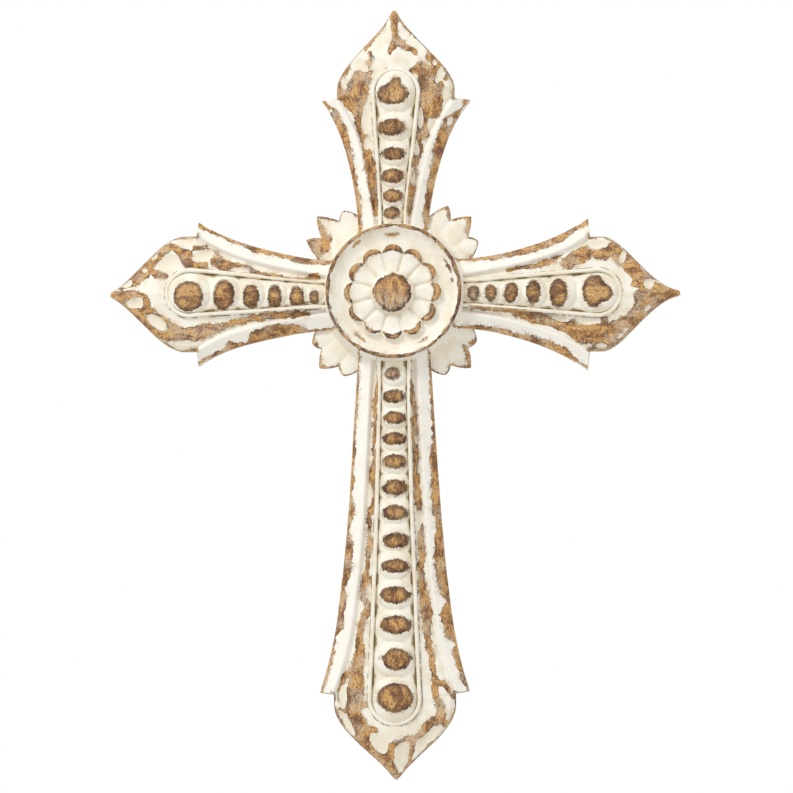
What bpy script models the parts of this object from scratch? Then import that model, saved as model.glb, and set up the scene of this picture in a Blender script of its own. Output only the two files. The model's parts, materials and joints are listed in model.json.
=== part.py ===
"""A carved wooden wall cross with flared arms, beaded troughs and a flower medallion.

The back is flat and lies on the wall. X runs across, Z runs up and the front faces -Y, so a
height above the back is a negative Y. The origin is on the back, behind the medallion. Every
part of the carving is a loft of rings, and all of them are joined into one solid.
"""

import math
from dataclasses import dataclass, replace

import bmesh
import bpy

MM = 0.001

# Overall size
HEIGHT = 610 * MM
ARM_REACH = 225.5 * MM
SHAFT_REACH = HEIGHT - ARM_REACH
ARM_START = 25 * MM
FLARE_START = 47.5 * MM

# Heights of the carving above the flat back
EDGE_HEIGHT = 10 * MM
GROOVE_HEIGHT = 11.5 * MM
RIDGE_HEIGHT = 16 * MM
FIELD_EDGE_HEIGHT = 14 * MM
FIELD_CROWN_HEIGHT = 18 * MM
TIP_HEIGHT = 11 * MM
FILLET_HEIGHT = 18.8 * MM
TROUGH_HEIGHT = 14 * MM
BEAD_WALL_HEIGHT = 16 * MM
DISH_HEIGHT = 23 * MM
RING_HEIGHT = 29 * MM
BOSS_HEIGHT = 31.2 * MM

# Cross-section of an arm
TIP_HALF_WIDTH = 2.2 * MM
TIP_ROUNDING = 2.4 * MM
TIP_END_SHARE = 0.6
TIP_ARC_STATIONS = 3
TIP_SLOPE_LENGTH = 45 * MM
BACK_INSET = 0.8 * MM
GROOVE_LIP = 1.8 * MM
RIDGE_PLACE = 0.22
FLANGE_LEAN = 1.6 * MM
FLANGE_LEAN_POWER = 6
BEVEL_PLACES = (0.92, 0.945, 0.97)
NOTCH_STEP = 0.4 * MM
BLADE_STATIONS = 10
STATION_CROWDING = 1.5

# Trough, its raised fillet, and the beads
FILLET_START = 33 * MM
FILLET_FOOT_HEIGHT = 8 * MM
FILLET_OFFSET = 3.7 * MM
FILLET_DRAFT = 1.4 * MM
TROUGH_START = 41 * MM
TROUGH_OFFSET = 0.3 * MM
TROUGH_DRAFT = 1.2 * MM
CUTTER_TOP = 30 * MM
HAIRPIN_SIDE_POINTS = 8
HAIRPIN_ARC_POINTS = 12
BEAD_LENGTH_RATIO = 0.85
BEAD_OVERLAP = 1.1
BEAD_POINTS = 12
BEAD_FOOT_HEIGHT = 9 * MM
BEAD_RISE = 4.6 * MM
BEAD_RISE_BY_WIDTH = 0.24
BEAD_PROFILE = ((0.87, 0.62), (0.5, 1.0))

# Medallion, as radius and height from the back outwards and then inwards over the ring
RING_RADIUS = 52.8 * MM
MEDALLION_DROP = 1 * MM
MEDALLION_POINTS = 60
MEDALLION_PROFILE = (
    (RING_RADIUS + 6.5 * MM, 0),
    (RING_RADIUS + 6.5 * MM, 7 * MM),
    (RING_RADIUS + 3.6 * MM, 11.5 * MM),
    (RING_RADIUS + 0.8 * MM, RING_HEIGHT - 0.9 * MM),
    (RING_RADIUS, RING_HEIGHT),
    (RING_RADIUS - 1.6 * MM, RING_HEIGHT),
    (RING_RADIUS - 6 * MM, DISH_HEIGHT + 2 * MM),
    (RING_RADIUS - 11 * MM, DISH_HEIGHT),
    (RING_RADIUS - 18 * MM, DISH_HEIGHT),
)

# Flower in the medallion, set a little low and to the left by eye
FLOWER_PLACE = (-0.9 * MM, -1.8 * MM)
PETALS = 12
POINTS_PER_PETAL = 4
FLOWER_RADIUS = 38.5 * MM
PETAL_CLEFT = 0.1
PETAL_CLEFT_DEPTH = 1.8 * MM
FLOWER_PROFILE = (
    (1.0, DISH_HEIGHT - 3 * MM),
    (0.99, DISH_HEIGHT + 3 * MM),
    (0.94, DISH_HEIGHT + 4.2 * MM),
    (0.84, DISH_HEIGHT + 3.4 * MM),
    (0.66, DISH_HEIGHT + 2.2 * MM),
    (0.42, DISH_HEIGHT + 2.2 * MM),
)

# Boss in the flower
BOSS_PLACE = (-0.7 * MM, -2.6 * MM)
BOSS_POINTS = 24
BOSS_RADIUS = 17.5 * MM
BOSS_PROFILE = (
    (1.0, DISH_HEIGHT - 1 * MM),
    (1.0, BOSS_HEIGHT - 4.6 * MM),
    (0.9, BOSS_HEIGHT - 2.2 * MM),
    (0.62, BOSS_HEIGHT - 0.5 * MM),
    (0.3, BOSS_HEIGHT),
)

# Leaves between the arms: one long leaf on each diagonal and a shorter one each side
LEAF_ROOT_RADIUS = 50 * MM
LEAF_ROOT_HEIGHT = 8.5 * MM
LEAF_TIP_HEIGHT = 7.2 * MM
LEAF_NOTCH_HEIGHT = 6.4 * MM
LEAF_FOOT_RADIUS = 62 * MM
LEAF_FOOT_ANGLE = 25
LEAF_SIDE_RADIUS = 68.5 * MM
LEAF_SIDE_ANGLE = 20
LEAF_NOTCH_RADIUS = 73 * MM
LEAF_NOTCH_ANGLE = 7.6
SIDE_LEAF_ANGLE = 13.6
LEAF_FULLNESS = 0.8 * MM
# Each group's diagonal, and how far its three leaves reach, clockwise
LEAF_GROUPS = (
    (45, 81 * MM, 85.5 * MM, 77.5 * MM),
    (135, 76 * MM, 85 * MM, 77 * MM),
    (225, 77.5 * MM, 84 * MM, 76.5 * MM),
    (315, 82 * MM, 87.5 * MM, 77.5 * MM),
)


@dataclass(frozen=True)
class Flare:
    """A half width that spreads outwards from the hub and kicks out near the flange's end."""

    root: float
    spread: float
    power: float
    kick: float
    kick_power: float

    def half_width(self, progress):
        spread = self.spread * progress**self.power
        kick = self.kick * progress**self.kick_power
        return (self.root + spread + kick) * MM


@dataclass(frozen=True)
class Arm:
    """One arm, its turn from straight up, and how its middle line strays at hub, notch and tip."""

    name: str
    turn: float
    strays: tuple
    reach: float
    notch: float
    blade_half_width: float
    point_length: float
    point_power: float
    outer: Flare
    groove: Flare
    flange_stations: int
    beads: int
    first_bead: float
    last_bead: float
    narrow_bead: float
    wide_bead: float
    bead_power: float

    def flange_progress(self, along):
        return max(0.0, (along - FLARE_START) / (self.notch - FLARE_START))

    def stray(self, along):
        """How far the arm's middle line is off straight here."""
        hub, notch, tip = self.strays
        if along < self.notch:
            return (hub + (notch - hub) * along / self.notch) * MM
        return (notch + (tip - notch) * (along - self.notch) / (self.reach - self.notch)) * MM

    def lean(self, across, along):
        """How far a flange's outer edge falls back towards its end, none of it at the groove."""
        progress = self.flange_progress(along)
        groove = self.groove.half_width(progress)
        share = max(0.0, (across - groove) / (self.outer.half_width(progress) - groove))
        return FLANGE_LEAN * share * progress**FLANGE_LEAN_POWER

    def blade(self, along):
        """Half width of the spear point, an ogee that swells from a rounded tip to its shoulders."""
        from_tip = self.reach - along
        swell = math.sin(math.pi / 2 * min(1.0, from_tip / self.point_length) ** self.point_power)
        half_width = TIP_HALF_WIDTH + (self.blade_half_width - TIP_HALF_WIDTH) * swell
        if from_tip > TIP_ROUNDING:
            return half_width
        return half_width * max(TIP_END_SHARE, math.sqrt(1 - (1 - from_tip / TIP_ROUNDING) ** 2))

    def crown(self, along):
        """Height of the field's middle, which falls away towards the tip."""
        progress = min(1.0, (self.reach - along) / TIP_SLOPE_LENGTH)
        return TIP_HEIGHT + (FIELD_CROWN_HEIGHT - TIP_HEIGHT) * math.sin(math.pi / 2 * progress)

    def bead_half_width(self, along):
        progress = max(0.0, (along - self.first_bead) / (self.last_bead - self.first_bead))
        widening = (self.wide_bead - self.narrow_bead) * progress**self.bead_power
        return self.narrow_bead + widening


TOP_ARM = Arm(
    name="top",
    turn=0,
    strays=(-2.4, 1.2, 0.1),
    reach=ARM_REACH,
    notch=154.8 * MM,
    blade_half_width=46.7 * MM,
    point_length=64 * MM,
    point_power=1.4,
    outer=Flare(27.6, 24.4, 1.6, 7.3, 6),
    groove=Flare(10.8, 17.5, 1, 15.5, 4),
    flange_stations=11,
    beads=6,
    first_bead=63 * MM,
    last_bead=159 * MM,
    narrow_bead=7.9 * MM,
    wide_bead=16 * MM,
    bead_power=1,
)

RIGHT_ARM = replace(
    TOP_ARM,
    name="right",
    turn=90.4,
    strays=(1, 1.3, 0.7),
    notch=154.3 * MM,
    blade_half_width=45.5 * MM,
    point_length=62 * MM,
    point_power=1.7,
    outer=Flare(27.6, 31, 1.9, 2, 6),
    last_bead=160.3 * MM,
)

LEFT_ARM = replace(
    TOP_ARM,
    name="left",
    turn=-90,
    strays=(-3, 0, -0.5),
    notch=157 * MM,
    blade_half_width=46 * MM,
    point_length=59 * MM,
    point_power=1.35,
    outer=Flare(27.6, 24.4, 1.6, 5.5, 6),
    last_bead=162 * MM,
)

SHAFT = Arm(
    name="shaft",
    turn=179.8,
    strays=(0, 1.3, 0.6),
    reach=SHAFT_REACH,
    notch=317.3 * MM,
    blade_half_width=48 * MM,
    point_length=58 * MM,
    point_power=1.25,
    outer=Flare(28.2, 18, 1, 13, 6),
    groove=Flare(14.7, 13.5, 1, 17.5, 6),
    flange_stations=16,
    beads=13,
    first_bead=63 * MM,
    last_bead=322.4 * MM,
    narrow_bead=9.5 * MM,
    wide_bead=17.6 * MM,
    bead_power=1.5,
)


def clear_scene():
    for obj in list(bpy.data.objects):
        bpy.data.objects.remove(obj)


def new_collection(name):
    collection = bpy.data.collections.new(name)
    bpy.context.scene.collection.children.link(collection)
    return collection


def front(across, height, along):
    """A point of an upright arm: across it, above its flat back, and along it from the hub."""
    return (across, -height, along)


def loft(name, rings, collection, turn=0):
    """A closed solid through rings of equally many points, turned about Y by some degrees."""
    shape = bmesh.new()
    loops = [[shape.verts.new(point) for point in ring] for ring in rings]
    for lower, upper in zip(loops, loops[1:]):
        for i in range(len(lower)):
            shape.faces.new((lower[i - 1], lower[i], upper[i], upper[i - 1]))
    shape.faces.new(loops[0])
    shape.faces.new(reversed(loops[-1]))
    bmesh.ops.recalc_face_normals(shape, faces=shape.faces)
    mesh = bpy.data.meshes.new(name)
    shape.to_mesh(mesh)
    shape.free()
    obj = bpy.data.objects.new(name, mesh)
    obj.rotation_euler.y = math.radians(turn)
    obj.hide_render = True
    obj.display_type = "WIRE"
    collection.objects.link(obj)
    return obj


def flanged_half(arm, along):
    """Half of the cross-section where flanges flank the field, from the middle outwards."""
    progress = arm.flange_progress(along)
    outer = arm.outer.half_width(progress)
    groove = arm.groove.half_width(progress)
    return [
        (groove - GROOVE_LIP, FIELD_EDGE_HEIGHT),
        (groove, GROOVE_HEIGHT),
        (groove + RIDGE_PLACE * (outer - groove), RIDGE_HEIGHT),
        (outer, EDGE_HEIGHT),
        (outer - BACK_INSET, 0),
    ]


def bladed_half(arm, along):
    """Half of the cross-section of the spear point, with as many points as a flanged one."""
    blade = arm.blade(along)
    share = (FIELD_EDGE_HEIGHT - EDGE_HEIGHT) / (FIELD_CROWN_HEIGHT - EDGE_HEIGHT)
    lip_rise = share * (arm.crown(along) - EDGE_HEIGHT)
    half = []
    for place in BEVEL_PLACES:
        bevel = (1 - place) / (1 - BEVEL_PLACES[0])
        half.append((place * blade, EDGE_HEIGHT + lip_rise * bevel))
    return half + [(blade, EDGE_HEIGHT), (blade - BACK_INSET, 0)]


def cross_section(arm, along, half):
    """A whole ring: the middle, one side down to the back, and the other side back up."""
    right = []
    left = []
    for across, height in half:
        leaning = along - arm.lean(across, along) if along <= arm.notch else along
        right.append(front(arm.stray(along) + across, height, leaning))
        left.append(front(arm.stray(along) - across, height, leaning))
    return [front(arm.stray(along), arm.crown(along), along)] + right + left[::-1]


def arm_rings(arm):
    rings = []
    for i in range(arm.flange_stations + 1):
        crowding = 1 - (1 - i / arm.flange_stations) ** STATION_CROWDING
        along = ARM_START + (arm.notch - ARM_START) * crowding
        rings.append(cross_section(arm, along, flanged_half(arm, along)))
    start = arm.notch + NOTCH_STEP
    arc_start = arm.reach - TIP_ROUNDING
    stations = [start + (arc_start - start) * i / BLADE_STATIONS for i in range(BLADE_STATIONS + 1)]
    for i in range(TIP_ARC_STATIONS):
        angle = math.pi / 2 * (i + 1) / TIP_ARC_STATIONS
        stations.append(arc_start + TIP_ROUNDING * math.sin(angle))
    for along in stations:
        rings.append(cross_section(arm, along, bladed_half(arm, along)))
    return rings


def hairpin(arm, start, offset, height):
    """The outline round the row of beads: two flaring sides and an arc round the last bead."""
    sides = []
    for i in range(HAIRPIN_SIDE_POINTS):
        along = start + (arm.last_bead - start) * i / HAIRPIN_SIDE_POINTS
        sides.append((arm.bead_half_width(along) + offset, along))
    radius = arm.wide_bead + offset
    arc = []
    for i in range(HAIRPIN_ARC_POINTS + 1):
        angle = math.pi * i / HAIRPIN_ARC_POINTS
        arc.append((radius * math.cos(angle), arm.last_bead + radius * math.sin(angle)))
    mirrored = [(-across, along) for across, along in reversed(sides)]
    outline = sides + arc + mirrored
    return [front(arm.stray(along) + across, height, along) for across, along in outline]


def fillet_rings(arm):
    foot = hairpin(arm, FILLET_START, FILLET_OFFSET + FILLET_DRAFT, FILLET_FOOT_HEIGHT)
    return [foot, hairpin(arm, FILLET_START, FILLET_OFFSET, FILLET_HEIGHT)]


def trough_rings(arm):
    floor = hairpin(arm, TROUGH_START, TROUGH_OFFSET, TROUGH_HEIGHT)
    return [floor, hairpin(arm, TROUGH_START, TROUGH_OFFSET + TROUGH_DRAFT, CUTTER_TOP)]


def bead_places(arm):
    """Place, half length and half width of each bead. The last is round, and each touches the next."""
    place = arm.last_bead
    half_length = arm.wide_bead
    half_width = arm.wide_bead
    for _ in range(arm.beads):
        yield place, half_length, half_width
        edge = place - half_length
        place = edge - half_length
        for _ in range(8):
            half_width = arm.bead_half_width(place)
            half_length = BEAD_LENGTH_RATIO * half_width
            place = edge - half_length


def bead_rings(arm, place, half_length, half_width):
    rise = BEAD_RISE + BEAD_RISE_BY_WIDTH * half_width
    levels = [(1, BEAD_FOOT_HEIGHT), (1, BEAD_WALL_HEIGHT)]
    for size, share in BEAD_PROFILE:
        levels.append((size, TROUGH_HEIGHT + rise * (0.3 + 0.7 * share)))
    rings = []
    for size, height in levels:
        ring = []
        for i in range(BEAD_POINTS):
            angle = 2 * math.pi * i / BEAD_POINTS
            across = arm.stray(place) + size * half_width * math.cos(angle)
            along = place + size * BEAD_OVERLAP * half_length * math.sin(angle)
            ring.append(front(across, height, along))
        rings.append(ring)
    return rings


def turned_rings(profile, points):
    """Rings of a turned shape from its radii and heights."""
    rings = []
    for radius, height in profile:
        ring = []
        for i in range(points):
            angle = 2 * math.pi * i / points
            ring.append(front(radius * math.sin(angle), height, radius * math.cos(angle)))
        rings.append(ring)
    return rings


def flower_rings():
    """Scooped petals with raised rims. The clefts between them are lower and lie further in."""
    rings = []
    points = PETALS * POINTS_PER_PETAL
    for size, height in FLOWER_PROFILE:
        ring = []
        for i in range(points):
            angle = 2 * math.pi * i / points
            cleft = 1 - abs(math.cos(PETALS * angle / 2))
            radius = FLOWER_RADIUS * size * (1 - PETAL_CLEFT * cleft)
            level = height - PETAL_CLEFT_DEPTH * cleft
            ring.append(front(radius * math.sin(angle), level, radius * math.cos(angle)))
        rings.append(ring)
    return rings


def leaf_corners(first_reach, long_reach, last_reach):
    """Angle from a diagonal, radius and height of a leaf group's corners, from one arm to the next."""
    return [
        (-LEAF_FOOT_ANGLE, LEAF_FOOT_RADIUS, LEAF_NOTCH_HEIGHT),
        (-LEAF_SIDE_ANGLE, LEAF_SIDE_RADIUS, LEAF_NOTCH_HEIGHT),
        (-SIDE_LEAF_ANGLE, first_reach, LEAF_TIP_HEIGHT),
        (-LEAF_NOTCH_ANGLE, LEAF_NOTCH_RADIUS, LEAF_NOTCH_HEIGHT),
        (0, long_reach, LEAF_TIP_HEIGHT),
        (LEAF_NOTCH_ANGLE, LEAF_NOTCH_RADIUS, LEAF_NOTCH_HEIGHT),
        (SIDE_LEAF_ANGLE, last_reach, LEAF_TIP_HEIGHT),
        (LEAF_SIDE_ANGLE, LEAF_SIDE_RADIUS, LEAF_NOTCH_HEIGHT),
        (LEAF_FOOT_ANGLE, LEAF_FOOT_RADIUS, LEAF_NOTCH_HEIGHT),
    ]


def leaf_outline():
    """The corners of all four groups, with a fuller point midway along each edge of a leaf."""
    outline = []
    for diagonal, *reaches in LEAF_GROUPS:
        corners = leaf_corners(*reaches)
        for i, (angle, radius, height) in enumerate(corners):
            outline.append((diagonal + angle, radius, height))
            if 0 < i < len(corners) - 2:
                next_angle, next_radius, next_height = corners[i + 1]
                middle = (radius + next_radius) / 2 + LEAF_FULLNESS
                outline.append((diagonal + (angle + next_angle) / 2, middle, (height + next_height) / 2))
    return outline


def leaf_rings():
    outline = leaf_outline()
    rings = [[], [], []]
    for degrees, radius, height in outline:
        angle = math.radians(degrees)
        levels = ((radius - BACK_INSET, 0), (radius, height), (LEAF_ROOT_RADIUS, LEAF_ROOT_HEIGHT))
        for ring, (reach, level) in zip(rings, levels):
            ring.append(front(reach * math.sin(angle), level, reach * math.cos(angle)))
    return rings


def aged_paint():
    """Worn cream paint over brown wood, as one even colour."""
    material = bpy.data.materials.new("cream_paint_on_wood")
    material.use_nodes = True
    shader = material.node_tree.nodes["Principled BSDF"]
    shader.inputs["Base Color"].default_value = (0.84, 0.77, 0.64, 1)
    shader.inputs["Roughness"].default_value = 0.75
    shader.inputs["Metallic"].default_value = 0
    return material


def add_boolean(obj, operation, collection):
    modifier = obj.modifiers.new(f"{operation.lower()} {collection.name}", "BOOLEAN")
    modifier.operation = operation
    modifier.operand_type = "COLLECTION"
    modifier.collection = collection
    modifier.solver = "EXACT"


def build_cross():
    clear_scene()
    ground = new_collection("ground")
    troughs = new_collection("troughs")
    ornament = new_collection("ornament")

    cross = loft("wall_cross", leaf_rings(), bpy.context.scene.collection)
    cross.hide_render = False
    cross.display_type = "TEXTURED"
    cross.data.materials.append(aged_paint())

    for arm in (TOP_ARM, RIGHT_ARM, LEFT_ARM, SHAFT):
        loft(f"{arm.name}_arm", arm_rings(arm), ground, arm.turn)
        loft(f"{arm.name}_fillet", fillet_rings(arm), ground, arm.turn)
        loft(f"{arm.name}_trough", trough_rings(arm), troughs, arm.turn)
        for place, half_length, half_width in bead_places(arm):
            rings = bead_rings(arm, place, half_length, half_width)
            loft(f"{arm.name}_bead", rings, ornament, arm.turn)
    medallion = loft("medallion", turned_rings(MEDALLION_PROFILE, MEDALLION_POINTS), ornament)
    medallion.location.z = -MEDALLION_DROP
    flower = loft("flower", flower_rings(), ornament)
    flower.location.x, flower.location.z = FLOWER_PLACE
    boss_profile = [(size * BOSS_RADIUS, height) for size, height in BOSS_PROFILE]
    boss = loft("boss", turned_rings(boss_profile, BOSS_POINTS), ornament)
    boss.location.x, boss.location.z = BOSS_PLACE

    add_boolean(cross, "UNION", ground)
    add_boolean(cross, "DIFFERENCE", troughs)
    add_boolean(cross, "UNION", ornament)


build_cross()
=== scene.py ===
"""The looks of the carved wall cross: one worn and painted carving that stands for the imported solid.

Lengths are millimetres until a mesh is made. Each arm is worked out standing upright, with
"across" to its right, "along" away from the hub and "height" above the flat back, and it is
then turned about Y into place. Worn places are given the same way, in the arm's own across
and along, so that they stay on the carving whatever side it is seen from.
"""

import json
import math
from dataclasses import dataclass, replace
from types import SimpleNamespace

import bmesh
import bpy
import numpy as np
from mathutils import Matrix, Vector

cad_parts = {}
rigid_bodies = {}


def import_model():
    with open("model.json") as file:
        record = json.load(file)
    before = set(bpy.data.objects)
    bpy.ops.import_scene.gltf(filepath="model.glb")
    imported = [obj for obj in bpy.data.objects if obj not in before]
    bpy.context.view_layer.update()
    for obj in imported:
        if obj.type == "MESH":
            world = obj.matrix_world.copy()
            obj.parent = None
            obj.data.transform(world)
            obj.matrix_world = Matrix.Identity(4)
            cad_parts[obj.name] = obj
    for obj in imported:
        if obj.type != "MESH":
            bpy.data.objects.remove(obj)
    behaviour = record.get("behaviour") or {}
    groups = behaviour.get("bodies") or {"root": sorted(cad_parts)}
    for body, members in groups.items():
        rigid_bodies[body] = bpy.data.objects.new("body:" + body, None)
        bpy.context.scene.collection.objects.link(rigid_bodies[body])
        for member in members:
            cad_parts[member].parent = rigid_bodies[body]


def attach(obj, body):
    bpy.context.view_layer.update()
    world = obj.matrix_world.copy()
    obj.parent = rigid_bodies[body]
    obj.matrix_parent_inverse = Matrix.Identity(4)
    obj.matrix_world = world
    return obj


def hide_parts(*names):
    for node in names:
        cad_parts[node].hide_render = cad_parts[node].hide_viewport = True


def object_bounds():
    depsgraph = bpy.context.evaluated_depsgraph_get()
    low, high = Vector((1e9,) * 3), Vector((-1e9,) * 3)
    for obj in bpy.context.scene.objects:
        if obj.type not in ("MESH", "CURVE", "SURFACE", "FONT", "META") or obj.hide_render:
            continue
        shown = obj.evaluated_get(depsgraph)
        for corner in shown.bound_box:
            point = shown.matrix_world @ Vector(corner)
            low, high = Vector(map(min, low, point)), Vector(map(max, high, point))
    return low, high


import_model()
CAD_LOW, CAD_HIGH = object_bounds()

METRES = 0.001

# Overall size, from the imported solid
ARM_REACH = CAD_HIGH.z / METRES
SHAFT_REACH = -CAD_LOW.z / METRES
ARM_START = 25
FLARE_START = 47.5

# Heights of the carving above the flat back
EDGE_HEIGHT = 10
GROOVE_HEIGHT = 11.5
RIDGE_HEIGHT = 16
FIELD_EDGE_HEIGHT = 14
FIELD_CROWN_HEIGHT = 18
TIP_HEIGHT = 11
FILLET_HEIGHT = 18.8
TROUGH_HEIGHT = 14
BEAD_WALL_HEIGHT = 16
DISH_HEIGHT = 23
RING_HEIGHT = 29
BOSS_HEIGHT = -CAD_LOW.y / METRES

# Cross-section of an arm
TIP_HALF_WIDTH = 2.2
TIP_ROUNDING = 2.4
TIP_END_SHARE = 0.6
TIP_ARC_STATIONS = 5
TIP_SLOPE_LENGTH = 45
BACK_INSET = 0.8
GROOVE_LIP = 1.8
RIDGE_PLACE = 0.22
FLANGE_LEAN = 1.6
FLANGE_LEAN_POWER = 6
BLADE_LIP = 0.92
NOTCH_STEP = 0.05
RELAX_LENGTH = 30
FLANGED_COUNTS = (32, 2, 4, 12)
BLADED_COUNTS = (44, 6)
WALL_COUNT = 3
STATION_SPACING = 1.35

# Trough, its raised fillet, and the beads
FILLET_START = 33
FILLET_WIDTH = 4.1
FILLET_PROFILE = ((5, 8), (4.1, 16.5), (3.6, 18), (2.8, FILLET_HEIGHT))
TROUGH_START = 41
TROUGH_PROFILE = ((0.3, TROUGH_HEIGHT), (0.5, 17.6), (1.4, FILLET_HEIGHT), (9, 30))
HAIRPIN_SPACING = 3
HAIRPIN_ARC_POINTS = 32
BEAD_LENGTH_RATIO = 0.85
BEAD_OVERLAP = 1.1
BEAD_POINTS = 28
BEAD_LEVELS = 9
BEAD_FOOT_HEIGHT = 9
BEAD_RISE = 4.6
BEAD_RISE_BY_WIDTH = 0.24
BEAD_ROUNDNESS = 0.72
SADDLE_OVERLAP = 0.6
SADDLE_RISE = 4.9
SADDLE_SQUARENESS = 0.5
SADDLE_SPACING = 6
SADDLE_POINTS = 32
SETTLING_ROUNDS = 8

# Medallion, flower and boss
RING_RADIUS = 52.8
MEDALLION_PLACE = (0, -1)
FLOWER_PLACE = (-0.9, -1.8)
BOSS_PLACE = (-0.7, -2.6)
MEDALLION_POINTS = 200
MEDALLION_PROFILE = (
    (RING_RADIUS + 6.5, 0),
    (RING_RADIUS + 6.5, 7),
    (RING_RADIUS + 3.6, 11.5),
    (RING_RADIUS + 0.8, RING_HEIGHT - 0.9),
    (RING_RADIUS, RING_HEIGHT),
    (RING_RADIUS - 1.6, RING_HEIGHT),
    (RING_RADIUS - 6, DISH_HEIGHT + 2),
    (RING_RADIUS - 11, DISH_HEIGHT),
    (RING_RADIUS - 18, DISH_HEIGHT),
)
PETALS = 12
HALF_PETAL = math.pi / PETALS
POINTS_PER_PETAL = 22
FLOWER_RADIUS = 38.5
PETAL_CLEFT = 0.1
FLOWER_PROFILE = (
    (1.0, DISH_HEIGHT - 3),
    (1.0, DISH_HEIGHT + 2),
    (0.985, DISH_HEIGHT + 3.6),
    (0.95, DISH_HEIGHT + 4.2),
    (0.91, DISH_HEIGHT + 3.9),
    (0.82, DISH_HEIGHT + 2.6),
    (0.7, DISH_HEIGHT + 1.9),
    (0.55, DISH_HEIGHT + 2.3),
    (0.42, DISH_HEIGHT + 3.2),
)
CLEFT_DEPTH = 2.2
CLEFT_HALF_WIDTH = 1.1
PETAL_SHOULDER = 0.8
BOSS_RADIUS = 17.5
BOSS_POINTS = 96
BOSS_LEVELS = 14
BOSS_WALL_HEIGHT = 26
BOSS_ROUNDNESS = 0.8
PROFILE_SPACING = 1.0

# Leaves between the arms
LEAF_ROOT_RADIUS = 50
LEAF_ROOT_HEIGHT = 8.5
LEAF_TIP_HEIGHT = 7.2
LEAF_NOTCH_HEIGHT = 6.4
LEAF_FULLNESS = 0.8
LEAF_EDGE_POINTS = 6
LEAF_RINGS = 12
LEAF_FOOT = (25, 62)
LEAF_SIDE = (20, 68.5)
LEAF_NOTCH = (7.6, 73)
SIDE_LEAF_ANGLE = 13.6
# Each group's diagonal, and how far its three leaves reach, clockwise
LEAF_GROUPS = (
    (45, 81, 85.5, 77.5),
    (135, 76, 85, 77),
    (225, 77.5, 84, 76.5),
    (315, 82, 87.5, 77.5),
)

# Hand work: how far it strays from the setting out, and how deep the gouge goes. Straying fades
# out before the points' tips, and the gouge's marks fade out at the outline and the fillet
WANDER = 0.35
WANDER_SIZE = 34
FIRM_TIP = 2
TIP_FADE = 25
TOOL_RIPPLE = 0.22
TOOL_RIPPLE_SIZE = 11
PETAL_RIPPLE_SHARE = 0.4
SCOOP_DEPTH = 1.1
BARE_RIDGE = 0.35
BARE_RIDGE_RISE = (-1.5, 1.5)
OUTLINE_FADE = (0.5, 3.5)
FILLET_FADE = (FILLET_WIDTH, FILLET_WIDTH + 2)
LEAF_CREASE_ANGLE = 7.6
LEAF_CREASE_SPREAD = 1.6
LEAF_CREASE_DEPTH = 0.5
LEAF_CREASE_START = (RING_RADIUS + 4, RING_RADIUS + 12)
LEAF_CREASE_RIM = (0, 2)
LEAF_VEIN_SHARE = 0.6
SHARP_ANGLE = 38

# Random tables, drawn the same every time
TABLE_SIZE = 64
FIRST_SEED = 7
WANDER_SEEDS = (1, 2)
RIPPLE_SEED = 3
DISH_RIPPLE_SEED = 8
RING_WEAR_SEED = 21

# Where each part of the carving begins and ends, when its points are told apart
LIMB_START = 30
LIMB_SLACK = 0.5
WALL_TOP = EDGE_HEIGHT - 2.5
MEDALLION_EDGE = 1
MEDALLION_FOOT = RING_RADIUS + 7.5
MEDALLION_FLOOR = DISH_HEIGHT - 4
LIMB_UNDER_RING = -4
RING_HALF_WIDTH = 4
FLOWER_FLOOR = DISH_HEIGHT + 1
FLOWER_SLACK = 0.3
BOSS_FLOOR = BOSS_WALL_HEIGHT - 1.5
BOSS_SLACK = 0.2
BEAD_FLOOR = BEAD_WALL_HEIGHT - 0.5
LEAF_SLACK = 0.2
LEAF_FLOOR = 3
LEAF_TIP_SLACK = 2
BACK_SLACK = 0.2

# Depth into bare wood, which is below 0 on paint, and distances for places nowhere near an edge
UNWORN = -6.0
WALL_WEAR = 1.5
BACK_WEAR = 12
DEEPEST_WEAR = 20
FAR_OFF = 9.0
RIM_LIMIT = 8
OUT_OF_REACH = 1e3

# Between these two places along an arm, wear draws back from the beads and from over the groove
NARROW_FIELD = (90, 120)
FIELD_FROM_BEADS = (FILLET_WIDTH - 2.2, FILLET_WIDTH - 0.4)
SPILL_OVER_GROOVE = (4.5, 0.5)

# A trough's pockets, and the painted shade in them, start and are deepest at these distances, in from the
# beads' sides and off them
POCKET_SIDE = (5.04, 1.44)
POCKET_GAP = (0.5, 1.9)
POCKET_ROOM = 0.8

# Wear of the medallion. A petal's is half the width of its worn crescent, and how far the
# crescent's middle lies in from the petal's edge, clockwise from the top petal
RING_WEAR = 1.2
RING_WEAR_CHANGE = 0.5
RING_WEAR_INSET = 0.4
RING_WEAR_SIZE = 9
RING_WEAR_CIRCLE = 40
SCRATCH_INSET = 0.5
PETAL_WEAR = (
    (2.8, 2.6), (2.7, 2.5), (2.5, 2.4), (3.1, 2.9), (3.0, 2.8), (2.4, 2.8),
    (2.0, 2.9), (1.5, 3.1), (2.2, 2.3), (2.6, 2.3), (3.1, 2.7), (2.6, 2.5),
)
PETAL_WEAR_TAPER = 3.2
PETAL_WEAR_INSET = 0.2
BOSS_WEAR = 14.6
BOSS_HAZE = (5.6, -10.4)

# How calmly the paint's edge runs, where 1 is quite smooth
ISLAND_CALM = 0.7
ISLAND_CALM_FADE = (2.4, 0.9)
BEAD_CALM = 0.55
PETAL_CALM = 0.6
RING_CALM = 0.4

# How dark the wood is towards the paint's edge. On the beads and the back it is 1
BOSS_BURNT = 0.8
PETAL_BURNT = 0.45
RING_BURNT = 0.3
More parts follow.
